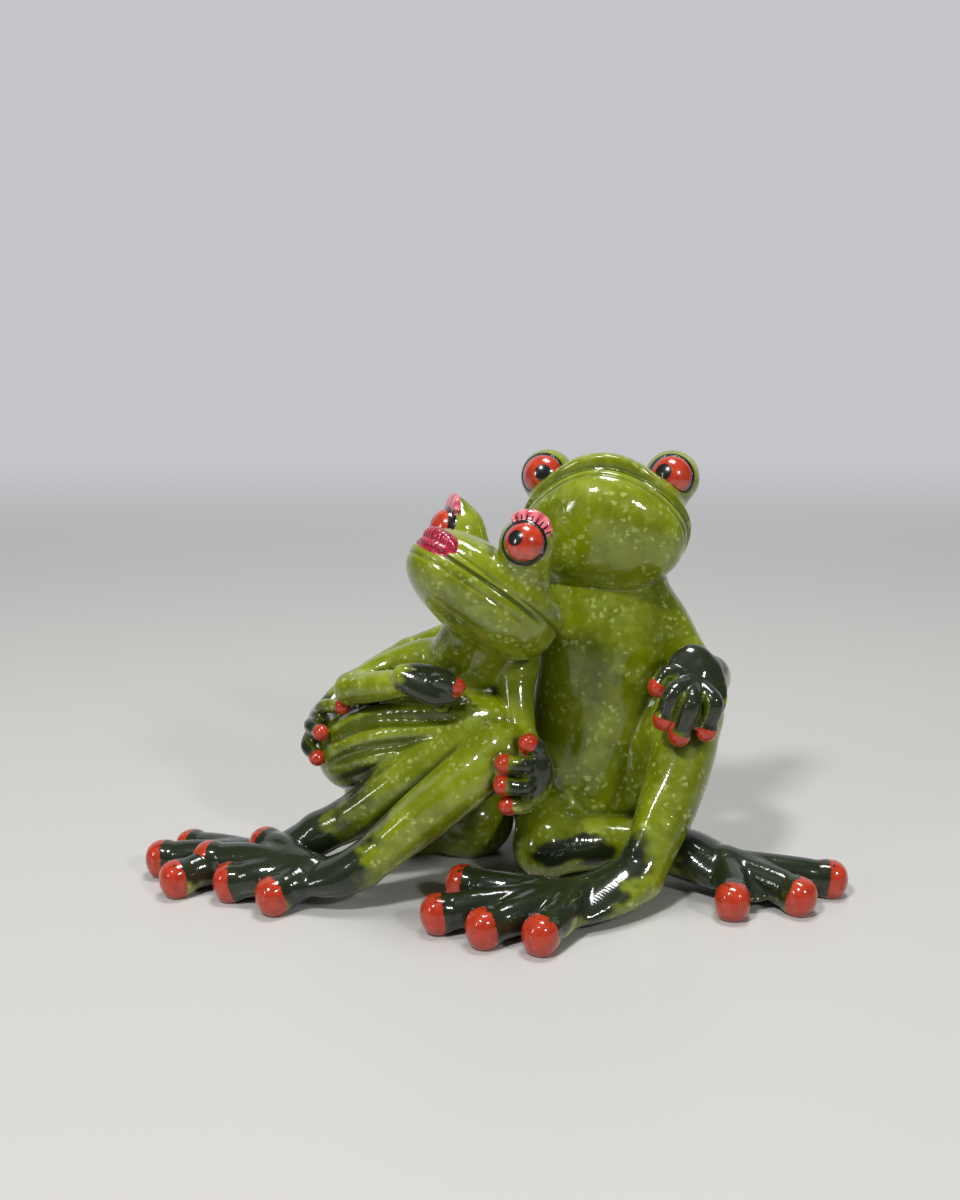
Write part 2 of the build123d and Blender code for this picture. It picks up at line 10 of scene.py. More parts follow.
import bpy
import numpy as np
import openvdb
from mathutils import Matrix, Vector


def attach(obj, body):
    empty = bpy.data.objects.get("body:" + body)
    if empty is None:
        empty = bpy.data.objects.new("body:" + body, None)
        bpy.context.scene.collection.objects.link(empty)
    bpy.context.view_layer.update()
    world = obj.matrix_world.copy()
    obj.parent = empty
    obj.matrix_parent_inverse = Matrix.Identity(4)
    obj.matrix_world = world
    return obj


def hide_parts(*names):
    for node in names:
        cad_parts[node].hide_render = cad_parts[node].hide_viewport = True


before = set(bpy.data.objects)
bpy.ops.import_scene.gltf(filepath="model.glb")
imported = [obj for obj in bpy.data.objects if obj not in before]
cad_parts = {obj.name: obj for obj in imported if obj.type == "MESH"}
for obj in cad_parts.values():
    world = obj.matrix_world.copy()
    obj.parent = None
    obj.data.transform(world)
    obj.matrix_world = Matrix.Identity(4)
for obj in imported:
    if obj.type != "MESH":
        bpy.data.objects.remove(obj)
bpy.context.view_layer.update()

# How wide over the toes, deep and high the pair is. Places given as shares are shares of these
PAIR = np.array((188.0, 98.0, 114.0))
MM = 0.001
VOXEL = 0.5
HEAD_VOXEL = 0.36
# A distance that is farther than anything here
FAR = 50.0

# Radii of the limbs and of the eyeballs
UPRIGHT_ARM, UPRIGHT_LEG, UPRIGHT_EYE = 4.8, 8.6, 6.0
LEANING_ARM, LEANING_LEG, LEANING_EYE = 4.4, 7.4, 5.3
# The bulge of an eye: its wall, its place across the head, and how far the eyeball stands out of it
EYE_WALL, EYE_ACROSS, EYE_PROUD = 1.4, 17.0, 2.6
# How high a crown rises over the middle of its head
CROWN = 10.0
SIGN = {"right": 1, "left": -1}


def at(across, back, up):
    return np.array((across, back, up)) * PAIR


def unit(v):
    v = np.asarray(v, float)
    return v / np.linalg.norm(v)


def smin(a, b, k):
    """The lesser of two distances, blended over a fillet of size k."""
    h = np.maximum(k - np.abs(a - b), 0) / k
    return np.minimum(a, b) - h * h * k * 0.25


def smax(a, b, k):
    return -smin(-a, -b, k)


def smoothstep(low, high, x):
    t = np.clip((x - low) / (high - low), 0, 1)
    return t * t * (3 - 2 * t)


def groove(x, width):
    """The section of a rounded groove: 1 in its middle and 0 beside it."""
    return np.exp(-((x / width) ** 2))


def noise(points, scale, seed=0):
    """Smooth value noise from -1 to 1 at points, with cells of one size or of three."""
    q = points / np.asarray(scale, float) + seed * 17.31
    cell = np.floor(q).astype(np.int64)
    f = q - cell
    f = f * f * (3 - 2 * f)
    total = np.zeros(len(points))
    for corner in np.ndindex(2, 2, 2):
        c = cell + corner
        h = (c[:, 0] * 73856093) ^ (c[:, 1] * 19349663) ^ (c[:, 2] * 83492791)
        h = (h ^ (h >> 13)) * 1274126177
        value = ((h ^ (h >> 16)) & 0xFFFF) / 32767.5 - 1
        weight = np.prod(np.where(np.array(corner) == 1, f, 1 - f), axis=1)
        total += value * weight
    return total


def smooth_path(rows, steps=4):
    """Rows of numbers resampled along a smooth curve through them."""
    rows = np.asarray(rows, float)
    padded = np.vstack((2 * rows[0] - rows[1], rows, 2 * rows[-1] - rows[-2]))
    out = []
    for i in range(len(rows) - 1):
        a, b, c, d = padded[i : i + 4]
        for t in np.arange(steps) / steps:
            linear = (c - a) * t
            square = (2 * a - 5 * b + 4 * c - d) * t * t
            out.append(0.5 * (2 * b + linear + square + (3 * b - a - 3 * c + d) * t**3))
    return np.vstack((out, rows[-1]))


def stretched(length, stretched_length, deepest):
    """The distance to a stretched ball, from the true and the stretched distance to its middle."""
    return np.maximum(length * (1 - 1 / np.maximum(stretched_length, 1e-4)), -deepest)


class Form:
    """A solid form: its distance at points, and a box outside which it is far away."""

    reach = 6.0

    def __call__(self, points):
        low, high = self.box
        near = np.all((points > low - self.reach) & (points < high + self.reach), axis=1)
        out = np.full(len(points), self.reach)
        if near.any():
            out[near] = np.minimum(self.distance(points[near]), self.reach)
        return out


class Limb(Form):
    """A limb along a smooth path, flattened where it has a facing. Rows: place, radius, half thickness."""

    def __init__(self, rows, facing=None, steps=6, shares=True):
        rows = [list(row) for row in rows]
        for row in rows:
            if shares:
                row[:3] = at(*row[:3])
            if len(row) == 4:
                row.append(row[3])
        path = smooth_path(rows, steps)
        self.a, self.b = path[:-1], path[1:]
        self.facing = None if facing is None else unit(facing)
        radius = path[:, 3:4]
        self.box = (path[:, :3] - radius).min(0), (path[:, :3] + radius).max(0)

    def distance(self, points):
        best = np.full(len(points), FAR)
        for a, b in zip(self.a, self.b):
            along = b[:3] - a[:3]
            q = points - a[:3]
            t = np.clip(q @ along / (along @ along + 1e-9), 0, 1)
            q = q - t[:, None] * along
            radius = a[3] + t * (b[3] - a[3])
            length = np.linalg.norm(q, axis=1)
            if self.facing is None:
                d = length - radius
            else:
                thick = a[4] + t * (b[4] - a[4])
                h = q @ self.facing
                flat = np.sqrt(np.maximum(length**2 - h * h, 0))
                rho = np.sqrt((flat / radius) ** 2 + (h / thick) ** 2)
                d = stretched(length, rho, np.minimum(radius, thick))
            best = np.minimum(best, d)
        return best


def scaled(rows, radius):
    """Rows whose sizes are shares of a radius, with the sizes in mm."""
    return [(*row[:3], *(share * radius for share in row[3:])) for row in rows]


def limb(radius, *rows):
    """A round limb. Rows: across, back, up as shares of the pair, and a share of the limb's radius."""
    return Limb(scaled(rows, radius))


class Ball(Form):
    """A ball or an ellipsoid with three half sizes along its own axes, squarer where the power is over 2."""

    def __init__(self, middle, sizes, axes=None, power=2.0):
        self.middle, self.power = np.asarray(middle, float), power
        self.sizes = np.broadcast_to(np.asarray(sizes, float), 3)
        self.axes = np.eye(3) if axes is None else np.array([unit(a) for a in axes])
        big = self.sizes.max()
        self.box = self.middle - big, self.middle + big

    def distance(self, points):
        q = (points - self.middle) @ self.axes.T
        if self.power == 2.0:
            rho = np.linalg.norm(q / self.sizes, axis=1)
        else:
            rho = (np.abs(q / self.sizes) ** self.power).sum(1) ** (1 / self.power)
        return stretched(np.linalg.norm(q, axis=1), rho, self.sizes.min())


class Levels(Form):
    """A torso of level ovals. Rows: across, back, up as shares of the pair, half width, half depth."""

    def __init__(self, *rows):
        rows = np.array([[*at(*row[:3]), *row[3:]] for row in rows])
        self.rows = smooth_path(rows, 6)
        half = self.rows[:, 3:5].max()
        self.box = self.rows[:, :3].min(0) - (half, half, 0), self.rows[:, :3].max(0) + (half, half, 0)

    def oval(self, points):
        """The middle and the half sizes of the oval at the height of each point."""
        return (np.interp(points[:, 2], self.rows[:, 2], self.rows[:, i]) for i in (0, 1, 3, 4))

    def distance(self, points):
        x, y, a, b = self.oval(points)
        qx, qy = points[:, 0] - x, points[:, 1] - y
        d = stretched(np.hypot(qx, qy), np.hypot(qx / a, qy / b), np.minimum(a, b))
        return np.maximum(d, points[:, 2] - self.rows[-1, 2])


class Eye:
    """One eye: where it looks, where its bulge sits, how much slimmer that is, its pupil and its lid."""

    def __init__(self, gaze, forward_share=0.45, height=12.0, slimmer=0.0, pupil=(0.34, 0.24), lid=None):
        self.gaze, self.forward_share, self.height = unit(gaze), forward_share, height
        self.slimmer, self.pupil, self.lid = slimmer, pupil, lid


class Head:
    """A head's own axes (to its right, forward to the snout, up to the crown), its outline and its eyes."""

    # Half of the outline from the snout to the nape, as shares of half the width and of the reach
    half_outline_shares = (
        (0, 1.0),
        (0.42, 0.87),
        (0.83, 0.48),
        (1.02, 0.03),
        (0.88, -0.45),
        (0.46, -0.76),
        (0, -0.86),
    )

    def __init__(self, middle, crown, to_right, width, reach, eye_radius, eyes):
        self.middle = at(*middle)
        w = unit(crown)
        u = unit(np.asarray(to_right, float) - w * np.dot(to_right, w))
        self.axes = np.array((u, np.cross(w, u), w))
        self.width, self.reach, self.eye_radius, self.eyes = width, reach, eye_radius, eyes
        half = np.array(self.half_outline_shares)
        ring = np.vstack((half, half[-2:0:-1] * (-1, 1)))
        steps = 8
        around = smooth_path(np.vstack((ring[-2:], ring, ring[:3])), steps)
        ring = around[2 * steps : (2 + len(ring)) * steps] * (width / 2, reach)
        angle = np.arctan2(ring[:, 0], ring[:, 1])
        order = np.argsort(angle)
        angle, far = angle[order], np.linalg.norm(ring, axis=1)[order]
        self.angle = np.concatenate((angle - 2 * np.pi, angle, angle + 2 * np.pi))
        self.far = np.tile(far, 3)

    def local(self, points):
        return (points - self.middle) @ self.axes.T

    def world(self, u, v, w):
        return self.middle + np.array((u, v, w)) @ self.axes

    def outline(self, u, v):
        """How far the outline is from the middle, in the direction of u and v."""
        return np.interp(np.arctan2(u, v), self.angle, self.far)

    def bulge(self, side):
        eye = self.eyes[side]
        return self.world(SIGN[side] * EYE_ACROSS, eye.forward_share * self.reach, eye.height)

    def eye_middle(self, side):
        return self.bulge(side) + self.eyes[side].gaze * EYE_PROUD


class Jaw(Form):
    """The upper or lower half of a head: its outline, rounded up and down from a level of its own."""

    def __init__(self, head, level, up, down, wide=1.0, long=1.0, power=2.2):
        self.head, self.level, self.up, self.down = head, level, up, down
        self.wide, self.long, self.power = wide, long, power
        size = max(head.width / 2, head.reach, up, down) + abs(level)
        self.box = head.middle - size, head.middle + size

    def distance(self, points):
        q = self.head.local(points) - (0, 0, self.level)
        u, v, w = q[:, 0] / self.wide, q[:, 1], q[:, 2]
        v = np.where(v > 0, v / self.long, v)
        s = np.hypot(u, v) / self.head.outline(u, v)
        h = np.abs(w) / np.where(w > 0, self.up, self.down)
        rho = (s**self.power + h**self.power) ** (1 / self.power)
        return stretched(np.linalg.norm(q, axis=1), rho, 4)


class Lid(Form):
    """A fan-shaped upper lid over an eye, with fine ribs on its face."""

    half_angle = 0.86
    ribs, rib_height = 15, 0.05
    # The face leans back by this much for each mm beyond the edge of the eye
    lean, eye_edge = 0.12, 5.0
    inner_edge, side_edge, half_thick = 3.5, 7.2, 1.0

    def __init__(self, head, side):
        up, self.tall = head.eyes[side].lid
        up = np.array(up)
        self.middle, self.out = head.eye_middle(side), head.eyes[side].gaze
        self.up = unit(up - self.out * np.dot(up, self.out))
        self.side = np.cross(self.up, self.out)
        self.box = self.middle - 12, self.middle + 12
        # What carries the lid: a cone from the bulge to the top of the fan
        self.backing = Limb(
            [
                (*(head.bulge(side) - 1.5 * self.out), 5.4),
                (*(self.middle + 0.5 * self.tall * self.up - 2.4 * self.out), 3.3),
                (*(self.middle + (self.tall - 1.2) * self.up - 1.1 * self.out), 0.9),
            ],
            shares=False,
        )

    def polar(self, points):
        """Distance and angle in the plane of the fan, and the distance in front of it."""
        q = points - self.middle
        a, b = q @ self.side, q @ self.up
        return np.hypot(a, b), np.arctan2(a, b), q @ self.out

    def distance(self, points):
        r, angle, depth = self.polar(points)
        rib = self.rib_height * np.cos(self.ribs * angle)
        edge = self.tall - (self.tall - self.side_edge) * (angle / self.half_angle) ** 2 + rib
        thick = self.half_thick - 0.05 * (r - self.eye_edge) + rib * smoothstep(4.8, 6.0, r)
        face = 0.2 - self.lean * (r - self.eye_edge)
        flat = np.maximum(r - edge, (np.abs(angle) - self.half_angle) * r)
        return smax(smax(flat, np.abs(depth - face) - thick, 0.7), self.inner_edge - r, 0.3)


class Lip(Limb):
    """One of two full lips that follow the snout, turned a little to the side that is seen."""

    # How full the lip is at places across the snout
    fullness = ((4.8, 0.0), (3.0, 0.62), (0.2, 0.97), (-2.8, 1.0), (-5.8, 0.8), (-8.8, 0.0))
    level, sunk = 0.8, 0.3
    wrinkle_height, wrinkle_rate = 0.07, 5.0

    def __init__(self, head, side):
        rows = []
        for across, full in self.fullness:
            turn = math.atan2(across, head.reach)
            far = head.outline(math.sin(turn), math.cos(turn)) - self.sunk
            level = side * (0.15 + 1.45 * full) + self.level
            middle = head.world(math.sin(turn) * far, math.cos(turn) * far, level)
            rows.append((*middle, 0.45 + 2.15 * full, 0.4 + 1.8 * full))
        super().__init__(rows, facing=head.axes[2], shares=False)
        self.head = head

    def distance(self, points):
        across = self.head.local(points)[:, 0]
        return super().distance(points) + self.wrinkle_height * np.cos(self.wrinkle_rate * across)


class Piece:
    """A casting: forms blended into one, hollows cut from it, and what is painted on it."""

    def __init__(self, *forms, blend=1.0, fillet=2.5):
        self.forms, self.blend, self.fillet = list(forms), blend, fillet
        # Strokes of dark paint (start, end, radius, softness), red tips, grooves, and sockets
        self.dark, self.tips, self.carve, self.cuts = [], [], [], []

    def __call__(self, points):
        d = self.forms[0](points)
        for form in self.forms[1:]:
            d = smin(d, form(points), getattr(form, "blend", self.blend))
        return d

    def bounds(self):
        lows, highs = zip(*(form.box for form in self.forms))
        return np.min(lows, axis=0), np.max(highs, axis=0)


class Frog:
    """The pieces of one frog. All limbs and the head are blended into the torso, not into each other."""

    def __init__(self, head_frame, **pieces):
        self.head_frame, self.pieces = head_frame, pieces

    def fields(self, points):
        return {name: piece(points) for name, piece in self.pieces.items()}

    def whole(self, points, fields=None):
        fields = fields or self.fields(points)
        torso = fields["torso"]
        total = torso
        for name, d in fields.items():
            if name != "torso":
                joined = smin(torso, d, self.pieces[name].fillet)
                total = smin(total, joined, 0.5)
        for piece in self.pieces.values():
            for cut in piece.cuts:
                total = smax(total, -cut(points), 0.3)
        return np.maximum(total, -points[:, 2])

    def cut_piece(self, name, points):
        """The whole frog's field, cut to the part that is nearest to one piece and a little beyond."""
        fields = self.fields(points)
        rest = np.min([d for other, d in fields.items() if other != name], axis=0)
        beyond = (fields[name] - rest) / 2
        dip = 0.05 * smoothstep(0.0, 0.5, beyond)
        total = self.whole(points, fields) + dip
        for carve in self.pieces[name].carve:
            total = total + carve(points)
        return np.maximum(total, beyond - 0.7)


def digit(root, middle, tip, root_radius, radius, pad, shape=(1.0, 1.0, 1.0), power=2.0, tall=1.0):
    """A finger or toe with a blunt pad; gives its forms and the tip with its direction."""
    root, middle, tip = at(*root), at(*middle), at(*tip)
    out = unit(tip - middle)
    side = unit(np.cross(out, (0, 0, 1)))
    path = ((root, root_radius), (middle, radius * 1.05), (tip - out * pad * 0.6, radius), (tip, radius))
    rows = [(*place, thick * tall, thick) for place, thick in path]
    axes = (out, side, np.cross(side, out))
    finger = Limb(rows, facing=side if tall > 1 else None, shares=False)
    return finger, Ball(tip, np.array(shape) * pad, axes, power), (tip, out, pad)


def hand(palm, facing, pointing, fingers, size=1.0, wide=1.0, thick=1.0):
    """A palm with fingers; gives the forms and the tips."""
    facing, pointing = unit(facing), unit(pointing)
    length, half_width, half_depth = 13.0, 6.0, 3.5
    root_radius, radius, pad = 2.6 * thick, 2.2 * thick, 2.5 * thick
    middle = at(*palm)
    # Shares of the palm's length, width and depth
    palm_shares = ((-0.5, 0.6, 0.9), (-0.15, 0.9, 1.0), (0.25, 1.0, 0.95), (0.5, 0.8, 0.7))
    rows = []
    for along, share, depth in palm_shares:
        place = middle + pointing * length * size * along
        rows.append((*place, half_width * share * wide * size, half_depth * depth * size))
    forms, tips = [Limb(rows, facing=facing, shares=False)], []
    for knuckle, tip in fingers:
        finger, end, mark = digit(palm, knuckle, tip, root_radius, radius, pad, (1.15, 1.0, 1.05))
        finger.blend = end.blend = 0.6
        forms += [finger, end]
        tips.append(mark)
    return forms, tips


def foot(instep, toes, leg_radius):
    """An instep, toes and the webs between them; gives forms, tips and dark strokes along the toes."""
    narrowing = (1.0, 1.0, 0.86, 0.8)
    instep = [(*row[:3], row[3] * narrow, row[4] * narrow) for row, narrow in zip(instep, narrowing)]
    forms, tips = [Limb(scaled(instep, leg_radius), facing=(0, 0, 1), steps=14)], []
    root = instep[-2][:3]
    high_root = np.array(root) + (0, 0, 0.012)
    for middle, tip in toes:
        middle = np.array(middle) + (0, 0, 0.009)
        toe, end, mark = digit(high_root, middle, tip, 4.3, 4.1, 4.2, (0.92, 1.0, 1.16), 2.7, tall=1.13)
        toe.blend = end.blend = 1.6
        forms += [toe, end]
        tips.append(mark)
    for (one, one_tip), (two, two_tip) in zip(toes[:-1], toes[1:]):
        between = (np.array(one) + two) / 2 * 0.55 + (np.array(one_tip) + two_tip) / 2 * 0.45
        between, start = at(*between), at(*root)
        between = start + (between - start) * 0.86 - (0, 0, 1.3)
        rows = [(*start, 6.0, 2.6), (*((start + between) / 2), 5.6, 2.0), (*between, 3.2, 1.3)]
        web = Limb(rows, facing=(0, 0, 1), shares=False)
        web.blend = 2.2
        forms.append(web)
    raised = np.array((0, 0, 0.03))
    strokes = [
        (np.array(middle) + raised, np.array(tip) * 0.8 + np.array(middle) * 0.2 + raised, 6.4, 1.2)
        for middle, tip in toes
    ]
    return forms, tips, strokes


def head_piece(head, throat, wide, long, power, fillet):
    """A head with two bulges for the eyes, each on a stalk and with a brow behind it."""
    upper = Jaw(head, 1.2, CROWN - 1.2, 3.0, power=2.3)
    lower = Jaw(head, -1.4, 4.5, throat - 1.4, wide, long, power=power)
    piece = Piece(upper, lower, blend=0.55, fillet=fillet)
    radius = head.eye_radius + EYE_WALL
    for side, eye in head.eyes.items():
        sign = SIGN[side]
        middle = head.bulge(side)
        foot_of_stalk = head.world(sign * 11.6, 0.18 * head.reach, 1.2)
        halfway = (foot_of_stalk + middle) / 2
        rows = [(*foot_of_stalk, radius), (*halfway, 0.88 * radius), (*middle, 0.86 * radius)]
        stalk = Limb(rows, shares=False)
        nape = head.world(sign * 9.5, -0.2 * head.reach, 2.0)
        halfway = (nape + middle) / 2
        rows = [(*nape, 5.5), (*halfway, 0.85 * radius), (*(middle - 0.8 * eye.gaze), 0.9 * radius)]
        brow = Limb(rows, shares=False)
        stalk.blend, brow.blend = 1.6, 2.2
        piece.forms += [stalk, brow, Ball(middle, radius - eye.slimmer)]
        piece.cuts.append(Ball(head.eye_middle(side), head.eye_radius - 0.12))

    def crease(points):
        """The line of the mouth, and a second, finer crease under it."""
        q = head.local(points)
        front = smoothstep(-0.35 * head.reach, 0.1 * head.reach, q[:, 1])
        return front * (0.75 * groove(q[:, 2] + 1.3, 0.42) + 0.3 * groove(q[:, 2] + 4.2, 0.55))

    piece.carve.append(crease)
    return piece


def spine(levels, low, high):
    """A shallow groove down the back of a torso, with a fold on either side of it."""

    def down_the_back(points):
        x, y, _, half_depth = levels.oval(points)
        behind = smoothstep(0.35, 0.8, (points[:, 1] - y) / half_depth)
        window = smoothstep(low, low + 12, points[:, 2]) * smoothstep(high + 8, high - 6, points[:, 2])
        aside = np.abs(points[:, 0] - x)
        fold = groove(aside - 8.5 - 0.05 * points[:, 2], 1.2)
        return behind * window * (1.1 * groove(aside, 1.7) + 0.5 * fold)

    return down_the_back


UPRIGHT_HEAD = Head(
    middle=(0.162, 0.153, 0.825),
    crown=(0.22, 0.92, 0.32),
    to_right=(-1, 0.2, -0.03),
    width=45.0,
    reach=21.0,
    eye_radius=UPRIGHT_EYE,
    eyes={"right": Eye((-0.35, -0.92, 0.15), pupil=(-0.22, 0.12)), "left": Eye((-0.2, -0.95, 0.15))},
)
LEANING_HEAD = Head(
    middle=(0.0, -0.041, 0.702),
    crown=(0.54, 0.3, 0.76),
    to_right=(-0.53, 0.82, -0.01),
    width=41.0,
    reach=23.5,
    eye_radius=LEANING_EYE,
    eyes={
        "right": Eye(
            (-0.94, -0.28, 0.18), forward_share=0.37, height=10.8, slimmer=1.0, lid=((0.1, 0.2, 0.95), 9.3)
        ),
        "left": Eye((-0.2, -0.95, 0.2), lid=((0.36, 0.25, 0.9), 8.5)),
    },
)


def upright_torso():
    """A torso of level ovals with a rounded neck, haunches and shoulder blades."""
    torso = Piece(
        Levels(
            (0.147, 0.255, 0.0, 15.6, 14.4),
            (0.147, 0.255, 0.045, 19.2, 18.2),
            (0.149, 0.25, 0.15, 20.8, 20.0),
            (0.157, 0.235, 0.29, 20.0, 19.0),
            (0.164, 0.214, 0.43, 19.0, 16.2),
            (0.17, 0.199, 0.55, 18.6, 14.0),
            (0.17, 0.2, 0.63, 17.8, 12.4),
            (0.168, 0.205, 0.74, 15.4, 10.2),
        ),
        Ball(at(0.168, 0.205, 0.735), (14.8, 9.9, 8.0)),
        Ball(at(0.222, 0.3, 0.12), (9.5, 11.5, 12)),
        Ball(at(0.078, 0.3, 0.12), (9.5, 11.5, 12)),
        Ball(at(0.226, 0.27, 0.58), (7, 6, 9)),
        Ball(at(0.118, 0.28, 0.58), (7, 6, 9)),
        blend=3.0,
    )
    torso.carve.append(spine(torso.forms[0], low=14, high=76))
    return torso


def upright_left_leg():
    """A leg with its knee raised and its foot in front."""
    leg = Piece(
        limb(UPRIGHT_LEG, (0.2, 0.22, 0.13, 1.25), (0.24, 0.14, 0.23, 1.3), (0.262, 0.08, 0.32, 1.2),
             (0.281, 0.035, 0.4, 1.05)),
        Limb([(0.263, -0.055, 0.32, 3.0), (0.229, -0.12, 0.232, 3.2), (0.2, -0.185, 0.14, 3.0)]),
        limb(UPRIGHT_LEG, (0.281, 0.035, 0.4, 1.05), (0.269, -0.015, 0.31, 1.0), (0.247, -0.08, 0.215, 0.9),
             (0.22, -0.145, 0.13, 0.78), (0.2, -0.185, 0.075, 0.75)),
        blend=1.6,
    )
    forms, leg.tips, strokes = foot(
        [(0.2, -0.185, 0.075, 0.75, 0.75), (0.165, -0.215, 0.055, 1.0, 0.65),
         (0.115, -0.25, 0.036, 1.35, 0.48), (0.065, -0.28, 0.03, 1.3, 0.36)],
        [((0.01, -0.21, 0.045), (-0.038, -0.165, 0.05)), ((0.0, -0.305, 0.045), (-0.07, -0.325, 0.042)),
         ((0.04, -0.345, 0.04), (-0.01, -0.4, 0.039)), ((0.09, -0.36, 0.04), (0.062, -0.435, 0.039))],
        UPRIGHT_LEG,
    )
    leg.forms += forms
    leg.dark = strokes + [
        ((0.02, -0.3, 0.06), (0.12, -0.245, 0.085), 12.5, 2),
        ((0.12, -0.245, 0.085), (0.178, -0.215, 0.135), 7.5, 2.5),
        ((0.0, -0.28, 0.04), (0.02, -0.36, 0.04), 14, 2),
    ]
    return leg


def upright_right_leg():
    """A leg folded on the table, with its foot out to the side."""
    leg = Piece(
        limb(UPRIGHT_LEG, (0.1, 0.22, 0.11, 1.2), (0.09, 0.1, 0.115, 1.15), (0.078, -0.01, 0.088, 0.98)),
        limb(UPRIGHT_LEG, (0.078, -0.01, 0.088, 0.98), (0.13, 0.01, 0.085, 0.85), (0.19, 0.02, 0.085, 0.78),
             (0.25, -0.01, 0.082, 0.75)),
        blend=1.6,
    )
    forms, leg.tips, strokes = foot(
        [(0.25, -0.01, 0.082, 0.75, 0.75), (0.285, -0.035, 0.072, 0.95, 0.75),
         (0.33, -0.08, 0.05, 1.25, 0.56), (0.37, -0.11, 0.036, 1.2, 0.42)],
        [((0.33, -0.18, 0.04), (0.325, -0.245, 0.039)), ((0.39, -0.165, 0.04), (0.418, -0.215, 0.039)),
         ((0.425, -0.1, 0.04), (0.475, -0.105, 0.039)), ((0.355, -0.04, 0.028), (0.362, -0.002, 0.024))],
        UPRIGHT_LEG,
    )
    leg.forms += forms
    leg.dark = strokes + [
        ((0.32, -0.07, 0.08), (0.42, -0.11, 0.05), 12.5, 2),
        ((0.24, -0.01, 0.115), (0.32, -0.07, 0.08), 7, 3),
        ((0.085, -0.1, 0.1), (0.15, -0.07, 0.095), 4.2, 1.2),
    ]
    return leg


def upright_left_arm():
    """An arm with its hand on the left knee."""
    arm = Piece(
        limb(UPRIGHT_ARM, (0.222, 0.194, 0.63, 1.25), (0.25, 0.19, 0.6, 1.4), (0.28, 0.17, 0.53, 1.2),
             (0.318, 0.14, 0.44, 1.0)),
        limb(UPRIGHT_ARM, (0.318, 0.14, 0.44, 1.0), (0.32, 0.09, 0.475, 0.95), (0.31, 0.03, 0.505, 0.9),
             (0.29, -0.02, 0.51, 0.85)),
        blend=1.2, fillet=5.0,
    )
    forms, arm.tips = hand(
        (0.28, -0.045, 0.494), (0.1, -0.8, 0.6), (-0.1, -0.55, -0.82),
        [((0.245, -0.045, 0.515), (0.232, -0.05, 0.488)), ((0.248, -0.105, 0.485), (0.236, -0.1, 0.424)),
         ((0.27, -0.125, 0.465), (0.257, -0.112, 0.39)), ((0.302, -0.105, 0.465), (0.294, -0.105, 0.4))],
        size=0.85, wide=1.75, thick=1.12,
    )
    arm.forms += forms
    arm.dark = [((0.285, -0.03, 0.55), (0.272, -0.11, 0.47), 10, 1.5)]
    return arm


def upright_right_arm():
    """An arm round the other frog's back."""
    arm = Piece(
        limb(UPRIGHT_ARM, (0.12, 0.22, 0.6, 1.15), (0.06, 0.3, 0.58, 1.1), (-0.04, 0.4, 0.52, 1.0),
             (-0.125, 0.42, 0.46, 1.0)),
        limb(UPRIGHT_ARM, (-0.125, 0.42, 0.46, 1.0), (-0.175, 0.4, 0.42, 0.9), (-0.225, 0.34, 0.375, 0.8),
             (-0.25, 0.27, 0.34, 0.75)),
        blend=1.2,
    )
    forms, arm.tips = hand(
        (-0.256, 0.22, 0.33), (-0.95, 0.15, 0.2), (0.1, -1, 0.1),
        [((-0.245, 0.14, 0.39), (-0.214, 0.09, 0.405)), ((-0.262, 0.12, 0.35), (-0.245, 0.07, 0.345)),
         ((-0.268, 0.13, 0.3), (-0.252, 0.08, 0.28))],
        thick=0.88,
    )
    arm.forms += forms
    arm.dark = [((-0.256, 0.24, 0.33), (-0.26, 0.12, 0.33), 9, 2.5)]
    return arm


def leaning_torso():
    """A torso that leans on the other frog, with a wide seat."""
    torso = Piece(
        Levels(
            (-0.114, 0.286, 0.0, 12.9, 12.0),
            (-0.114, 0.286, 0.07, 17.0, 15.5),
            (-0.104, 0.265, 0.175, 17.5, 15.8),
            (-0.072, 0.214, 0.316, 16.0, 13.6),
            (-0.036, 0.143, 0.439, 15.4, 12.0),
            (-0.016, 0.088, 0.526, 14.6, 10.6),
            (-0.008, 0.03, 0.62, 10.5, 8.4),
        ),
        Ball(at(-0.035, 0.21, 0.08), (13, 11, 11)),
        Ball(at(-0.055, 0.31, 0.13), (9, 10, 11)),
        Ball(at(-0.178, 0.33, 0.13), (9, 9, 11)),
        Ball(at(0.01, 0.17, 0.5), (6, 5, 9), ((1, 0, 0), (0, 0.9, 0.3), (0, -0.3, 0.9))),
        Ball(at(-0.085, 0.19, 0.47), (6, 5, 9), ((1, 0, 0), (0, 0.9, 0.3), (0, -0.3, 0.9))),
        blend=3.0,
    )
    torso.carve.append(spine(torso.forms[0], low=14, high=60))
    return torso


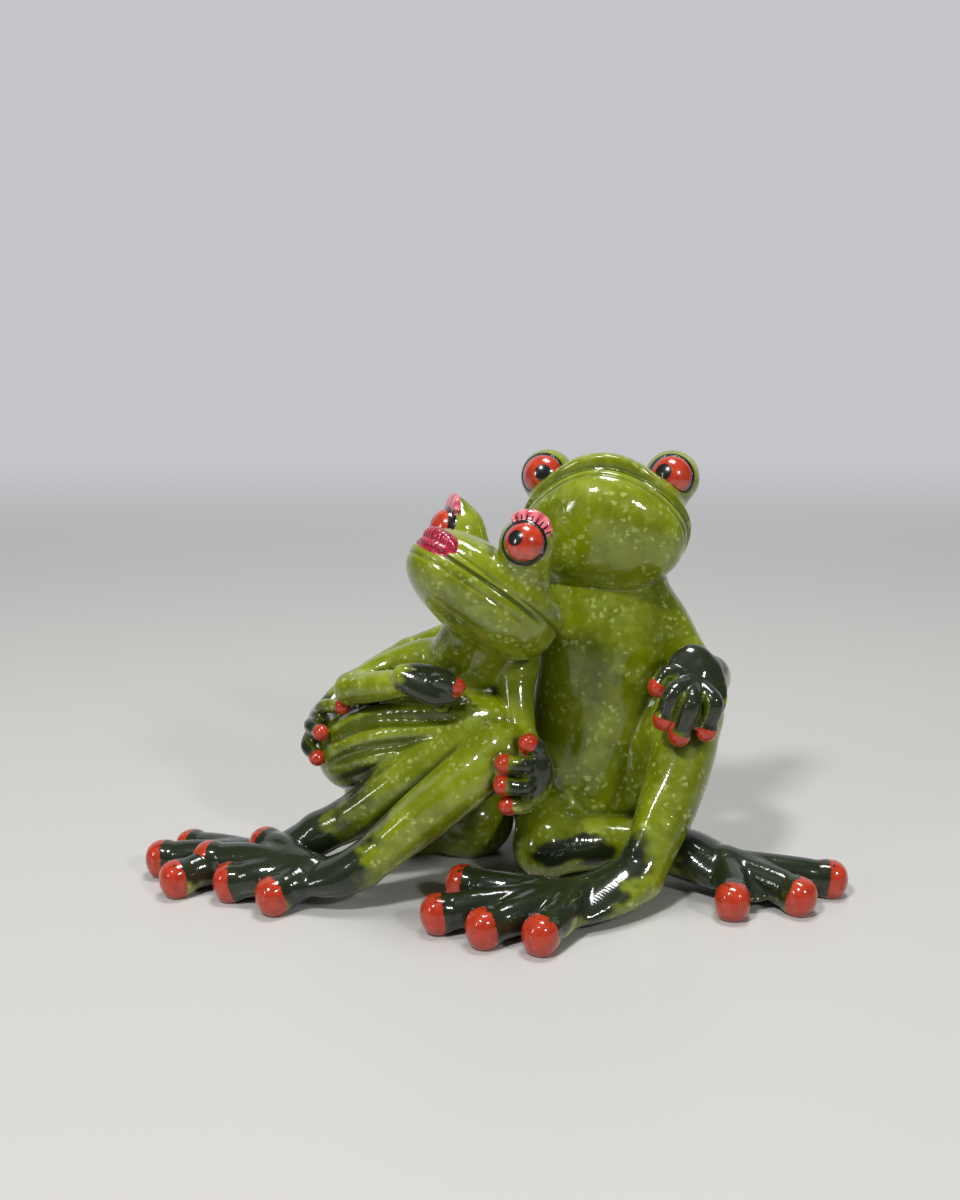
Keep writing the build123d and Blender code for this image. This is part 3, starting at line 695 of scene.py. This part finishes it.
def leaning_left_leg():
    """The near leg, with its shin down over the other leg."""
    leg = Piece(
        limb(LEANING_LEG, (-0.08, 0.18, 0.15, 1.25), (-0.05, 0.07, 0.24, 1.25), (-0.01, -0.045, 0.32, 1.1),
             (0.012, -0.11, 0.35, 1.0)),
        Limb([(-0.03, -0.17, 0.325, 2.6), (-0.085, -0.193, 0.254, 2.9), (-0.14, -0.2, 0.175, 2.6)]),
        limb(LEANING_LEG, (0.012, -0.11, 0.35, 1.0), (-0.035, -0.135, 0.29, 1.0),
             (-0.085, -0.155, 0.225, 0.95), (-0.135, -0.165, 0.155, 0.85), (-0.175, -0.175, 0.1, 0.75)),
        blend=1.6,
    )
    forms, leg.tips, strokes = foot(
        [(-0.175, -0.175, 0.1, 0.75, 0.75), (-0.21, -0.165, 0.07, 0.95, 0.7),
         (-0.25, -0.14, 0.055, 1.2, 0.55), (-0.285, -0.12, 0.055, 1.15, 0.42)],
        [((-0.268, -0.178, 0.045), (-0.296, -0.215, 0.04)),
         ((-0.315, -0.145, 0.05), (-0.362, -0.132, 0.04)), ((-0.33, -0.09, 0.068), (-0.399, -0.042, 0.064)),
         ((-0.295, -0.06, 0.078), (-0.322, 0.0, 0.084))],
        LEANING_LEG,
    )
    leg.forms += forms
    leg.dark = strokes + [
        ((-0.33, -0.1, 0.07), (-0.23, -0.155, 0.09), 13, 2),
        ((-0.23, -0.155, 0.11), (-0.155, -0.16, 0.2), 5.5, 2.5),
    ]
    return leg


def leaning_right_leg():
    """The far leg, with long folds over its thigh."""
    leg = Piece(
        limb(LEANING_LEG, (-0.215, 0.155, 0.255, 1.0), (-0.185, 0.14, 0.285, 1.65), (-0.13, 0.1, 0.33, 1.8),
             (-0.06, 0.035, 0.375, 1.4), (0.0, -0.01, 0.39, 1.0)),
        limb(LEANING_LEG, (0.0, -0.01, 0.39, 1.0), (-0.06, -0.02, 0.32, 1.05), (-0.12, -0.025, 0.25, 1.0),
             (-0.19, -0.02, 0.17, 0.85), (-0.245, -0.01, 0.12, 0.75)),
        Limb([(-0.08, -0.05, 0.33, 2.6), (-0.14, -0.062, 0.262, 2.9), (-0.2, -0.055, 0.185, 2.6)]),
        blend=1.6,
    )
    forms, leg.tips, strokes = foot(
        [(-0.245, -0.01, 0.12, 0.75, 0.75), (-0.285, -0.005, 0.075, 0.95, 0.65),
         (-0.33, 0.0, 0.04, 1.25, 0.48), (-0.37, 0.01, 0.03, 1.25, 0.36)],
        [((-0.4, -0.055, 0.04), (-0.44, -0.105, 0.039)), ((-0.425, 0.015, 0.04), (-0.476, 0.03, 0.04)),
         ((-0.395, 0.07, 0.036), (-0.444, 0.13, 0.033))],
        LEANING_LEG,
    )
    leg.forms += forms
    leg.dark = strokes + [
        ((-0.42, 0.02, 0.04), (-0.28, -0.01, 0.1), 14, 3),
        ((-0.28, -0.01, 0.1), (-0.17, -0.02, 0.22), 7, 4),
    ]
    hip, knee = at(-0.215, 0.155, 0.255), at(0.0, -0.01, 0.39)
    run = knee - hip
    along = unit(run)
    to_front = np.array((-0.3, -0.9, 0.1))
    front = unit(to_front - along * np.dot(to_front, along))
    over = np.cross(along, front)
    shin = leg.forms[1]
    folds_around, depth = 12.0, 1.15

    def thigh_folds(points):
        """Long folds of skin that fan out from the knee over the thigh."""
        q = points - hip
        t = (q @ run) / (run @ run)
        angle = np.arctan2(q @ over, q @ front) + 0.12 * np.sin(5 * t)
        valley = (0.5 + 0.5 * np.cos(folds_around * angle + 0.8)) ** 1.5
        window = smoothstep(-0.1, 0.25, t) * smoothstep(1.0, 0.75, t) * smoothstep(0.2, 1.6, shin(points))
        return depth * valley * window

    leg.carve.append(thigh_folds)
    return leg


def leaning_left_arm():
    """An arm down to the knee, with its hand closed."""
    arm = Piece(
        limb(LEANING_ARM, (0.0, 0.09, 0.54, 1.2), (0.033, 0.06, 0.535, 1.45), (0.034, 0.01, 0.46, 1.15),
             (0.038, -0.045, 0.385, 1.05), (0.05, -0.11, 0.34, 1.0)),
        blend=1.2,
    )
    forms, arm.tips = hand(
        (0.05, -0.15, 0.318), (0.5, -0.85, 0.1), (-0.85, -0.45, -0.1),
        [((0.062, -0.17, 0.372), (0.05, -0.18, 0.388)), ((0.044, -0.205, 0.345), (0.019, -0.202, 0.348)),
         ((0.044, -0.21, 0.298), (0.017, -0.206, 0.298)), ((0.047, -0.19, 0.254), (0.024, -0.195, 0.249))],
        size=0.75, wide=1.2,
    )
    arm.forms += forms + [Ball(at(0.056, -0.155, 0.31), (5.4, 4.8, 8.4))]
    arm.dark = [((0.068, -0.17, 0.345), (0.052, -0.22, 0.315), 7.0, 1.5)]
    return arm


def leaning_right_arm():
    """An arm with its hand flat on the belly."""
    arm = Piece(
        limb(LEANING_ARM, (-0.05, 0.09, 0.53, 1.1), (-0.095, 0.105, 0.52, 1.2), (-0.146, 0.112, 0.495, 1.0),
             (-0.2, 0.08, 0.45, 1.0)),
        limb(LEANING_ARM, (-0.2, 0.08, 0.45, 1.0), (-0.165, 0.02, 0.47, 0.95), (-0.13, -0.03, 0.49, 0.85),
             (-0.1, -0.055, 0.5, 0.8)),
        blend=1.2,
    )
    forms, arm.tips = hand(
        (-0.09, -0.07, 0.502), (-0.1, -0.7, 0.7), (0.93, -0.2, -0.25),
        [((-0.068, -0.1, 0.512), (-0.047, -0.106, 0.502)), ((-0.066, -0.1, 0.49), (-0.052, -0.08, 0.468)),
         ((-0.08, -0.095, 0.475), (-0.068, -0.065, 0.45))],
        size=0.9, thick=0.85,
    )
    arm.forms += forms
    # The photograph shows red on one finger of this hand
    arm.tips = arm.tips[:1]
    arm.dark = [((-0.085, -0.09, 0.51), (-0.055, -0.11, 0.49), 7.5, 1.5)]
    return arm


def upright_frog():
    """The larger frog, which sits up."""
    return Frog(
        UPRIGHT_HEAD,
        torso=upright_torso(),
        head=head_piece(UPRIGHT_HEAD, throat=14.0, wide=0.97, long=0.87, power=2.25, fillet=0.8),
        left_leg=upright_left_leg(),
        right_leg=upright_right_leg(),
        left_arm=upright_left_arm(),
        right_arm=upright_right_arm(),
    )


def leaning_head():
    """The smaller frog's head, with a lid over each eye and full lips."""
    head = head_piece(LEANING_HEAD, throat=13.4, wide=0.95, long=1.09, power=2.5, fillet=1.2)
    for side in LEANING_HEAD.eyes:
        lid = Lid(LEANING_HEAD, side)
        lid.blend, lid.backing.blend = 0.3, 1.2
        head.forms += [lid.backing, lid]
    for side in (1, -1):
        lip = Lip(LEANING_HEAD, side)
        lip.blend = 0.3
        head.forms.append(lip)
    return head


def leaning_frog():
    """The smaller frog, which leans on the other."""
    return Frog(
        LEANING_HEAD,
        torso=leaning_torso(),
        head=leaning_head(),
        left_leg=leaning_left_leg(),
        right_leg=leaning_right_leg(),
        left_arm=leaning_left_arm(),
        right_arm=leaning_right_arm(),
    )


def painted_fold_shade(frog, points, normals):
    """How much of the room just above the surface is taken: painted shade that darkens folds and seams."""
    wide, fine = 3.0, 0.8
    above = frog.whole(points + normals * wide)
    close = frog.whole(points + normals * fine)
    wide_fold_shade = smoothstep(0.2, 1.0, 1 - above / wide)
    fine_fold_shade = smoothstep(0.12, 0.6, 1 - close / fine)
    return np.maximum(wide_fold_shade, 0.85 * fine_fold_shade)


def dark_paint(strokes, points):
    """Black-green brush strokes with uneven edges."""
    dark = np.zeros(len(points))
    for start, end, radius, soft in strokes:
        a, b = at(*start), at(*end)
        t = np.clip((points - a) @ (b - a) / ((b - a) @ (b - a)), 0, 1)
        far = np.linalg.norm(points - a - t[:, None] * (b - a), axis=1)
        far = far + 2.2 * noise(points, (7, 2.2, 2.2), 1) + 0.8 * noise(points, 1.6, 2)
        dark = np.maximum(dark, smoothstep(radius + soft, radius - soft, far))
    return dark


def tip_paint(tips, points):
    """The distance to the edge of the red on the nearest finger or toe, negative inside the red."""
    nearest = np.full(len(points), 9.0)
    for place, out, pad in tips:
        q = points - place
        forward = q @ out
        aside = np.linalg.norm(q - forward[:, None] * out, axis=1)
        own = np.maximum(-forward - 0.25 * pad, aside - 1.27 * pad)
        nearest = np.minimum(nearest, np.maximum(own, np.linalg.norm(q, axis=1) - 1.42 * pad))
    return nearest


def rim_paint(head_frame, points):
    """The distance to the nearer eyeball, for the black line round it."""
    rims = [
        np.linalg.norm(points - head_frame.eye_middle(side), axis=1) - head_frame.eye_radius
        for side in head_frame.eyes
    ]
    return np.minimum(*rims)


def make_up(piece, points):
    """How deep the points are in the paint of the lips and lids, and where they are on a lid."""
    lips = [form for form in piece.forms if isinstance(form, Lip)]
    lids = [form for form in piece.forms if isinstance(form, Lid)]
    layers = {
        "lip": 0.3 - np.min([form(points) for form in lips], axis=0),
        "lid": np.full(len(points), -5.0),
        "lid_far": np.full(len(points), 9.0),
        "lid_turn": np.zeros(len(points)),
    }
    for form in lids:
        far, turn, depth = form.polar(points)
        near = (far < 11.5) & (np.abs(depth) < 6) & (np.abs(turn) < 1.4)
        face = depth + 0.35 + form.lean * (far - form.eye_edge)
        own = np.minimum(face, (form.half_angle + 0.1 - np.abs(turn)) * far)
        for name, values in (("lid", own), ("lid_far", far), ("lid_turn", turn)):
            layers[name] = np.where(near, values, layers[name])
    return layers


def paint(frog, part, points, normals):
    """How far each kind of paint reaches at the vertices of a piece."""
    piece = frog.pieces[part]
    # Painted shade: folds and seams are darkened where little room is left above the surface
    fold = painted_fold_shade(frog, points, normals)
    dark = dark_paint(piece.dark, points)
    if "arm" in part:
        # The grooves between the fingers stay green
        dark = dark * (1 - 0.85 * smoothstep(0.25, 0.6, fold))
    layers = {
        "fold": fold,
        # Painted top light: lighter where the surface faces up, less so in the folds
        "full": 0.35 * smoothstep(-0.2, 0.9, normals[:, 2]) * (1 - fold),
        "dark": 0.97 * dark,
        "tip": tip_paint(piece.tips, points),
    }
    if part == "head":
        layers["rim"] = rim_paint(frog.head_frame, points)
        if any(isinstance(form, Lip) for form in piece.forms):
            layers.update(make_up(piece, points))
    return layers


def sculpt(field, low, high, voxel):
    """The surface of a field as vertices and quads, worked out only near the surface."""
    block = 4
    step = voxel * block
    low = np.floor((low - 3 * voxel) / step) * step
    counts = np.ceil((high + 3 * voxel - low) / step).astype(int)
    cells = np.stack(np.meshgrid(*(np.arange(n) for n in counts), indexing="ij"), -1).reshape(-1, 3)
    coarse = field(low + (cells + 0.5) * step)
    active = np.abs(coarse) < step * 1.35
    offsets = np.stack(np.meshgrid(*(np.arange(block),) * 3, indexing="ij"), -1).reshape(-1, 3)
    values = np.where(coarse[:, None] > 0, FAR, -FAR) * np.ones((1, block**3))
    fine = (cells[active][:, None, :] * block + offsets[None]).reshape(-1, 3)
    values[active] = field(low + fine * voxel).reshape(-1, block**3)
    array = values.reshape(*counts, block, block, block).transpose(0, 3, 1, 4, 2, 5)
    array = np.ascontiguousarray(array.reshape(counts * block), dtype=np.float32)
    array = np.clip(array, -3 * voxel, 3 * voxel)
    grid = openvdb.FloatGrid(3 * voxel)
    grid.copyFromArray(array)
    points, quads = grid.convertToQuads()
    return low + points * voxel, quads


def surface_normals(field, points, step=0.06):
    base = field(points)
    slopes = [field(points + step * np.eye(3)[i]) - base for i in range(3)]
    g = np.stack(slopes, -1)
    return g / (np.linalg.norm(g, axis=1, keepdims=True) + 1e-9)


def mesh_object(name, points, faces, layers, material):
    """A smooth mesh from points in mm, with one value per vertex in each layer."""
    mesh = bpy.data.meshes.new(name)
    mesh.from_pydata((points * MM).tolist(), [], faces)
    for layer, values in layers.items():
        attribute = mesh.attributes.new(layer, "FLOAT", "POINT")
        attribute.data.foreach_set("value", np.asarray(values, np.float32))
    mesh.polygons.foreach_set("use_smooth", [True] * len(mesh.polygons))
    mesh.materials.append(material)
    made = bpy.data.objects.new(name, mesh)
    bpy.context.collection.objects.link(made)
    return made


def add_casting(frog_name, frog, part, material):
    """Meshes one piece of a frog in place of its node."""
    margin = 2.5
    low, high = frog.pieces[part].bounds()
    low, high = low - margin, high + margin
    low[2] = max(low[2], -1.0)

    def field(points):
        return frog.cut_piece(part, points)

    points, quads = sculpt(field, low, high, HEAD_VOXEL if part == "head" else VOXEL)
    normals = surface_normals(field, points)
    layers = paint(frog, part, points, normals)
    name = f"{frog_name}_{part}"
    casting = mesh_object(f"{name}_form", points, quads.tolist(), layers, material)
    casting.data.normals_split_custom_set_from_vertices(normals.tolist())
    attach(casting, "root")
    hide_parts(name)


def add_eyeball(frog_name, head_frame, side, material):
    """An eyeball as a net of latitudes round the direction that it looks in."""
    radius, axis = head_frame.eye_radius, unit(head_frame.eyes[side].gaze)
    across = unit(np.cross(axis, (0, 0, 1)))
    up = np.cross(across, axis)
    rings, around = 32, 64
    points = [axis * radius]
    for i in range(1, rings):
        polar = math.pi * i / rings
        for j in range(around):
            turn = 2 * math.pi * j / around
            flat = across * math.cos(turn) + up * math.sin(turn)
            points.append((axis * math.cos(polar) + flat * math.sin(polar)) * radius)
    points.append(-axis * radius)
    last = len(points) - 1
    faces = []
    for j in range(around):
        k = (j + 1) % around
        faces.append((0, 1 + j, 1 + k))
        for i in range(rings - 2):
            a, b = 1 + i * around, 1 + (i + 1) * around
            faces.append((a + j, b + j, b + k, a + k))
        faces.append((last, last - around + k, last - around + j))
    points = np.array(points)
    # The outline starts at this angle from the gaze and is broader at the lower left
    outline_degrees, broader, pupil_degrees = 60.0, 9.0, 22.0
    out = points / radius
    to_right, to_top = head_frame.eyes[side].pupil
    pupil = unit(axis + to_right * across + to_top * up)
    from_gaze = np.degrees(np.arccos(np.clip(out @ axis, -1, 1)))
    from_pupil = np.degrees(np.arccos(np.clip(out @ pupil, -1, 1)))
    outline = from_gaze - outline_degrees + broader * (out @ unit(across - up))
    black = np.maximum(outline, pupil_degrees - from_pupil) * radius * math.pi / 180
    middle = head_frame.eye_middle(side)
    ball = mesh_object(f"{frog_name}_{side}_eye_ball", points + middle, faces, {"black": black}, material)
    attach(ball, "root")
    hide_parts(f"{frog_name}_{side}_eye")


class Graph:
    """A material and short ways to add the nodes that the paints need."""

    def __init__(self, name):
        self.material = bpy.data.materials.new(name)
        self.material.use_nodes = True
        self.nodes, self.links = self.material.node_tree.nodes, self.material.node_tree.links
        self.nodes.clear()

    def add(self, kind, **settings):
        made = self.nodes.new(kind)
        for key, value in settings.items():
            setattr(made, key, value)
        return made

    def put(self, socket, value):
        """Links an output to a socket, or sets the socket to a number or a colour."""
        if isinstance(value, bpy.types.NodeSocket):
            self.links.new(value, socket)
        elif isinstance(value, tuple):
            socket.default_value = (*value, 1)
        else:
            socket.default_value = value

    def noise(self, place, scale, detail=3.0, rough=0.55):
        made = self.add("ShaderNodeTexNoise")
        for name, value in (("Vector", place), ("Scale", scale), ("Detail", detail), ("Roughness", rough)):
            self.put(made.inputs[name], value)
        return made.outputs["Fac"]

    def math(self, operation, *values, clamp=False):
        made = self.add("ShaderNodeMath", operation=operation, use_clamp=clamp)
        for socket, value in zip(made.inputs, values):
            self.put(socket, value)
        return made.outputs[0]

    def remap(self, value, low, high, out_low=0.0, out_high=1.0):
        made = self.add("ShaderNodeMapRange", interpolation_type="SMOOTHSTEP")
        names = ("Value", "From Min", "From Max", "To Min", "To Max")
        for name, setting in zip(names, (value, low, high, out_low, out_high)):
            self.put(made.inputs[name], setting)
        return made.outputs["Result"]

    def mix(self, factor, a, b):
        made = self.add("ShaderNodeMix", data_type="RGBA")
        for index, value in ((0, factor), (6, a), (7, b)):
            self.put(made.inputs[index], value)
        return made.outputs[2]

    def ramp(self, factor, stops):
        made = self.add("ShaderNodeValToRGB")
        elements = made.color_ramp.elements
        while len(elements) < len(stops):
            elements.new(0.5)
        for element, (place, color) in zip(elements, stops):
            element.position = place
            element.color = (*color, 1)
        self.put(made.inputs["Fac"], factor)
        return made.outputs["Color"]

    def layer(self, name):
        return self.add("ShaderNodeAttribute", attribute_name=name).outputs["Fac"]

    def object_place(self):
        return self.add("ShaderNodeTexCoord").outputs["Object"]

    def gloss(self, color, **settings):
        """A principled shader, under a clear coat where the settings give one; settings are named as its
        sockets are.
        """
        shader = self.add("ShaderNodeBsdfPrincipled")
        self.put(shader.inputs["Base Color"], color)
        for name, value in settings.items():
            self.put(shader.inputs[name.replace("_", " ")], value)
        return shader

    def finish(self, output):
        self.put(self.add("ShaderNodeOutputMaterial").inputs["Surface"], output)
        return self.material


# Paints
OLIVES = ((0.32, (0.085, 0.11, 0.0007)), (0.5, (0.15, 0.185, 0.001)), (0.7, (0.225, 0.27, 0.002)))
# The light olive is painted top light for faces that turn up
TOP_LIGHT_OLIVE, CLOUD, SPECKLE = (0.26, 0.32, 0.004), (0.33, 0.40, 0.06), (0.47, 0.53, 0.17)
# The fold green is painted shade for folds and seams
FOLD_SHADE_GREEN, BLACK_GREEN = (0.035, 0.055, 0.001), (0.008, 0.014, 0.008)
CAP_REDS = ((0.3, (0.36, 0.022, 0.006)), (0.7, (0.50, 0.045, 0.012)))
EYE_REDS = ((0.3, (0.38, 0.02, 0.004)), (0.75, (0.56, 0.048, 0.009)))
LIP_REDS = ((0.35, (0.24, 0.005, 0.022)), (0.7, (0.46, 0.014, 0.055)))
# The deeper pink is painted shade between the ribs of the lids
RIB_SHADE_PINK, PINK = (0.50, 0.06, 0.09), (0.78, 0.19, 0.22)
LASH_BLACK, LINE_BLACK, PUPIL_BLACK = (0.008, 0.006, 0.006), (0.006, 0.006, 0.006), (0.006, 0.006, 0.007)


def mottled_green(graph, place):
    """Olive green in broad patches, with painted top light that makes it lighter where it faces up, with
    cloudy spots and pale speckles.
    """
    color = graph.ramp(graph.noise(place, 0.06, 3.0, 0.6), OLIVES)
    # Painted top light on the faces that turn up
    color = graph.mix(graph.layer("full"), color, TOP_LIGHT_OLIVE)
    cloud = graph.remap(graph.noise(place, 0.22, 2.0, 0.5), 0.45, 0.7)
    speck = graph.add("ShaderNodeTexVoronoi", feature="F1")
    for name, value in (("Scale", 0.5), ("Randomness", 1.0), ("Vector", place)):
        graph.put(speck.inputs[name], value)
    radius = graph.math("MULTIPLY_ADD", graph.noise(place, 0.9, 2.0), 1.1, -0.2)
    spots = graph.remap(graph.math("SUBTRACT", radius, speck.outputs["Distance"]), -0.02, 0.16)
    crowded = graph.remap(graph.noise(place, 0.13, 2.0, 0.6), 0.42, 0.62, 0.12, 0.95)
    spots = graph.math("MULTIPLY", spots, crowded)
    color = graph.mix(graph.math("MULTIPLY", cloud, 0.34), color, CLOUD)
    return graph.mix(graph.math("MULTIPLY", spots, 0.6), color, SPECKLE)


def made_up(graph, place, color):
    """Pink lids with painted shade between their ribs and black lashes, and crimson lips, over a colour."""
    turn = graph.layer("lid_turn")
    ribs = graph.math("COSINE", graph.math("MULTIPLY", turn, float(Lid.ribs)))
    # Painted shade: the pink is deeper in the grooves between the ribs
    rib_shaded_pink = graph.mix(graph.remap(ribs, -1.0, 0.6), RIB_SHADE_PINK, PINK)
    strokes = graph.math("COSINE", graph.math("MULTIPLY_ADD", turn, 2.0 * Lid.ribs, 1.0))
    reach = graph.remap(strokes, 0.1, 1.0, 5.65, 7.1)
    lash = graph.remap(graph.math("SUBTRACT", reach, graph.layer("lid_far")), -0.08, 0.12)
    lid = graph.mix(lash, rib_shaded_pink, LASH_BLACK)
    color = graph.mix(graph.remap(graph.layer("lid"), -0.1, 0.1), color, lid)
    lip = graph.ramp(graph.noise(place, 0.7, 3.0), LIP_REDS)
    return graph.mix(graph.remap(graph.layer("lip"), -0.12, 0.12), color, lip)


def painted_resin(name, rimmed=False, lids_and_lips=False):
    """Hand-painted resin: mottled green, with painted top light and painted shade in the folds, black-green
    hands and feet and red tips, under a thick clear coat."""
    graph = Graph(name)
    mapping = graph.add("ShaderNodeMapping")
    mapping.inputs["Scale"].default_value = (1 / MM, 1 / MM, 1 / MM)
    graph.put(mapping.inputs["Vector"], graph.object_place())
    place = mapping.outputs["Vector"]
    color = mottled_green(graph, place)
    # Painted shade in the folds and seams
    color = graph.mix(graph.math("MULTIPLY", graph.layer("fold"), 0.85, clamp=True), color, FOLD_SHADE_GREEN)
    color = graph.mix(graph.layer("dark"), color, BLACK_GREEN)
    if lids_and_lips:
        color = made_up(graph, place, color)
    if rimmed:
        color = graph.mix(graph.remap(graph.layer("rim"), 0.5, 0.3), color, LINE_BLACK)
    uneven = graph.math("MULTIPLY_ADD", graph.noise(place, 0.8, 2.0), 1.4, -0.7)
    tip = graph.remap(graph.math("ADD", graph.layer("tip"), uneven), -0.12, 0.12, 1.0, 0.0)
    color = graph.mix(tip, color, graph.ramp(graph.noise(place, 0.5, 3.0), CAP_REDS))
    bump = graph.add("ShaderNodeBump")
    height = graph.noise(place, 0.45, 4.0, 0.6)
    for socket, value in (("Strength", 0.35), ("Distance", 0.2 * MM), ("Height", height)):
        graph.put(bump.inputs[socket], value)
    shader = graph.gloss(
        color,
        Roughness=0.34,
        IOR=1.5,
        Specular_IOR_Level=0.12,
        Coat_Weight=1.0,
        Coat_Roughness=0.045,
        Coat_IOR=1.55,
        Normal=bump.outputs["Normal"],
        Coat_Normal=bump.outputs["Normal"],
    )
    return graph.finish(shader.outputs["BSDF"])


def eye_enamel():
    """Red enamel with a black pupil and a black line round the eye."""
    graph = Graph("eye_enamel")
    red = graph.ramp(graph.noise(graph.object_place(), 500.0, 2.0, 0.5), EYE_REDS)
    color = graph.mix(graph.remap(graph.layer("black"), -0.08, 0.08), red, PUPIL_BLACK)
    shader = graph.gloss(color, Roughness=0.25, Coat_Weight=1.0, Coat_Roughness=0.02, Coat_IOR=1.6)
    return graph.finish(shader.outputs["BSDF"])


def table_top():
    """A pale table that turns, far behind the frogs, into an even backdrop that lights nothing."""
    graph = Graph("floor")
    place = graph.add("ShaderNodeSeparateXYZ")
    graph.put(place.inputs["Vector"], graph.object_place())
    behind = graph.remap(place.outputs["Y"], 0.2, 1.1)
    rays = graph.add("ShaderNodeLightPath").outputs
    seen = rays["Is Camera Ray"]
    for kind in ("Is Glossy Ray", "Is Transmission Ray"):
        seen = graph.math("MAXIMUM", seen, rays[kind])
    backdrop = graph.add("ShaderNodeEmission")
    graph.put(backdrop.inputs["Color"], (0.55, 0.56, 0.58))
    top = graph.gloss((0.52, 0.51, 0.49), Roughness=0.35)
    mixed = graph.add("ShaderNodeMixShader")
    layers = (graph.math("MULTIPLY", seen, behind), top.outputs["BSDF"], backdrop.outputs["Emission"])
    for socket, value in zip(mixed.inputs, layers):
        graph.put(socket, value)
    return graph.finish(mixed.outputs["Shader"])


def add_floor():
    """A wide table in metres that curves up into a backdrop."""
    half_width = 3
    profile = ((-3, 0), (1.2, 0), (1.5, 0.05), (1.65, 0.25), (1.7, 0.6), (1.7, 2.6))
    points = [(x, y, z) for y, z in profile for x in (-half_width, half_width)]
    faces = [(2 * i, 2 * i + 1, 2 * i + 3, 2 * i + 2) for i in range(len(profile) - 1)]
    floor = mesh_object("floor", np.array(points) / MM, faces, {}, table_top())


def area_light(name, place, size, power):
    """A rectangular lamp in metres and watts that points at the middle of the pair."""
    target = (0, 0, 0.05)
    data = bpy.data.lights.new(name, "AREA")
    data.shape = "RECTANGLE"
    data.size, data.size_y = size
    data.energy = power
    light = bpy.data.objects.new(name, data)
    light.location = place
    light.rotation_euler = Vector(np.array(target) - place).to_track_quat("-Z", "Y").to_euler()
    bpy.context.collection.objects.link(light)


def add_camera():
    """The photograph's view: from in front and a little above."""
    pitch_down = 12
    data = bpy.data.cameras.new("camera")
    data.lens = 39.6
    data.sensor_width = 36
    data.clip_start = 0.01
    camera = bpy.data.objects.new("camera", data)
    camera.location = (-0.0029, -0.3354, 0.1488)
    camera.rotation_euler = (math.radians(90 - pitch_down), 0, 0)
    bpy.context.collection.objects.link(camera)
    bpy.context.scene.camera = camera


plain_resin, enamel = painted_resin("painted_resin"), eye_enamel()
head_resins = {
    "upright": painted_resin("painted_resin_head", rimmed=True),
    "leaning": painted_resin("painted_resin_made_up_head", rimmed=True, lids_and_lips=True),
}
frogs = {"upright": upright_frog(), "leaning": leaning_frog()}
for frog_name, frog in frogs.items():
    for part in frog.pieces:
        add_casting(frog_name, frog, part, head_resins[frog_name] if part == "head" else plain_resin)
for frog_name, frog in frogs.items():
    for side in frog.head_frame.eyes:
        add_eyeball(frog_name, frog.head_frame, side, enamel)

add_floor()
area_light("key", (-0.35, -0.55, 0.9), (0.12, 0.12), 7.2)
area_light("fill", (0.55, -0.7, 0.6), (0.1, 0.1), 2.8)
area_light("low", (-0.75, -0.5, 0.35), (0.08, 0.25), 1.1)
area_light("top", (0.1, 0.1, 1.1), (0.35, 0.25), 7.0)
world = bpy.data.worlds.new("world")
world.use_nodes = True
world.node_tree.nodes["Background"].inputs["Color"].default_value = (0.8, 0.82, 0.85, 1)
world.node_tree.nodes["Background"].inputs["Strength"].default_value = 0.12
bpy.context.scene.world = world
add_camera()
bpy.context.scene.view_settings.view_transform = "Standard"
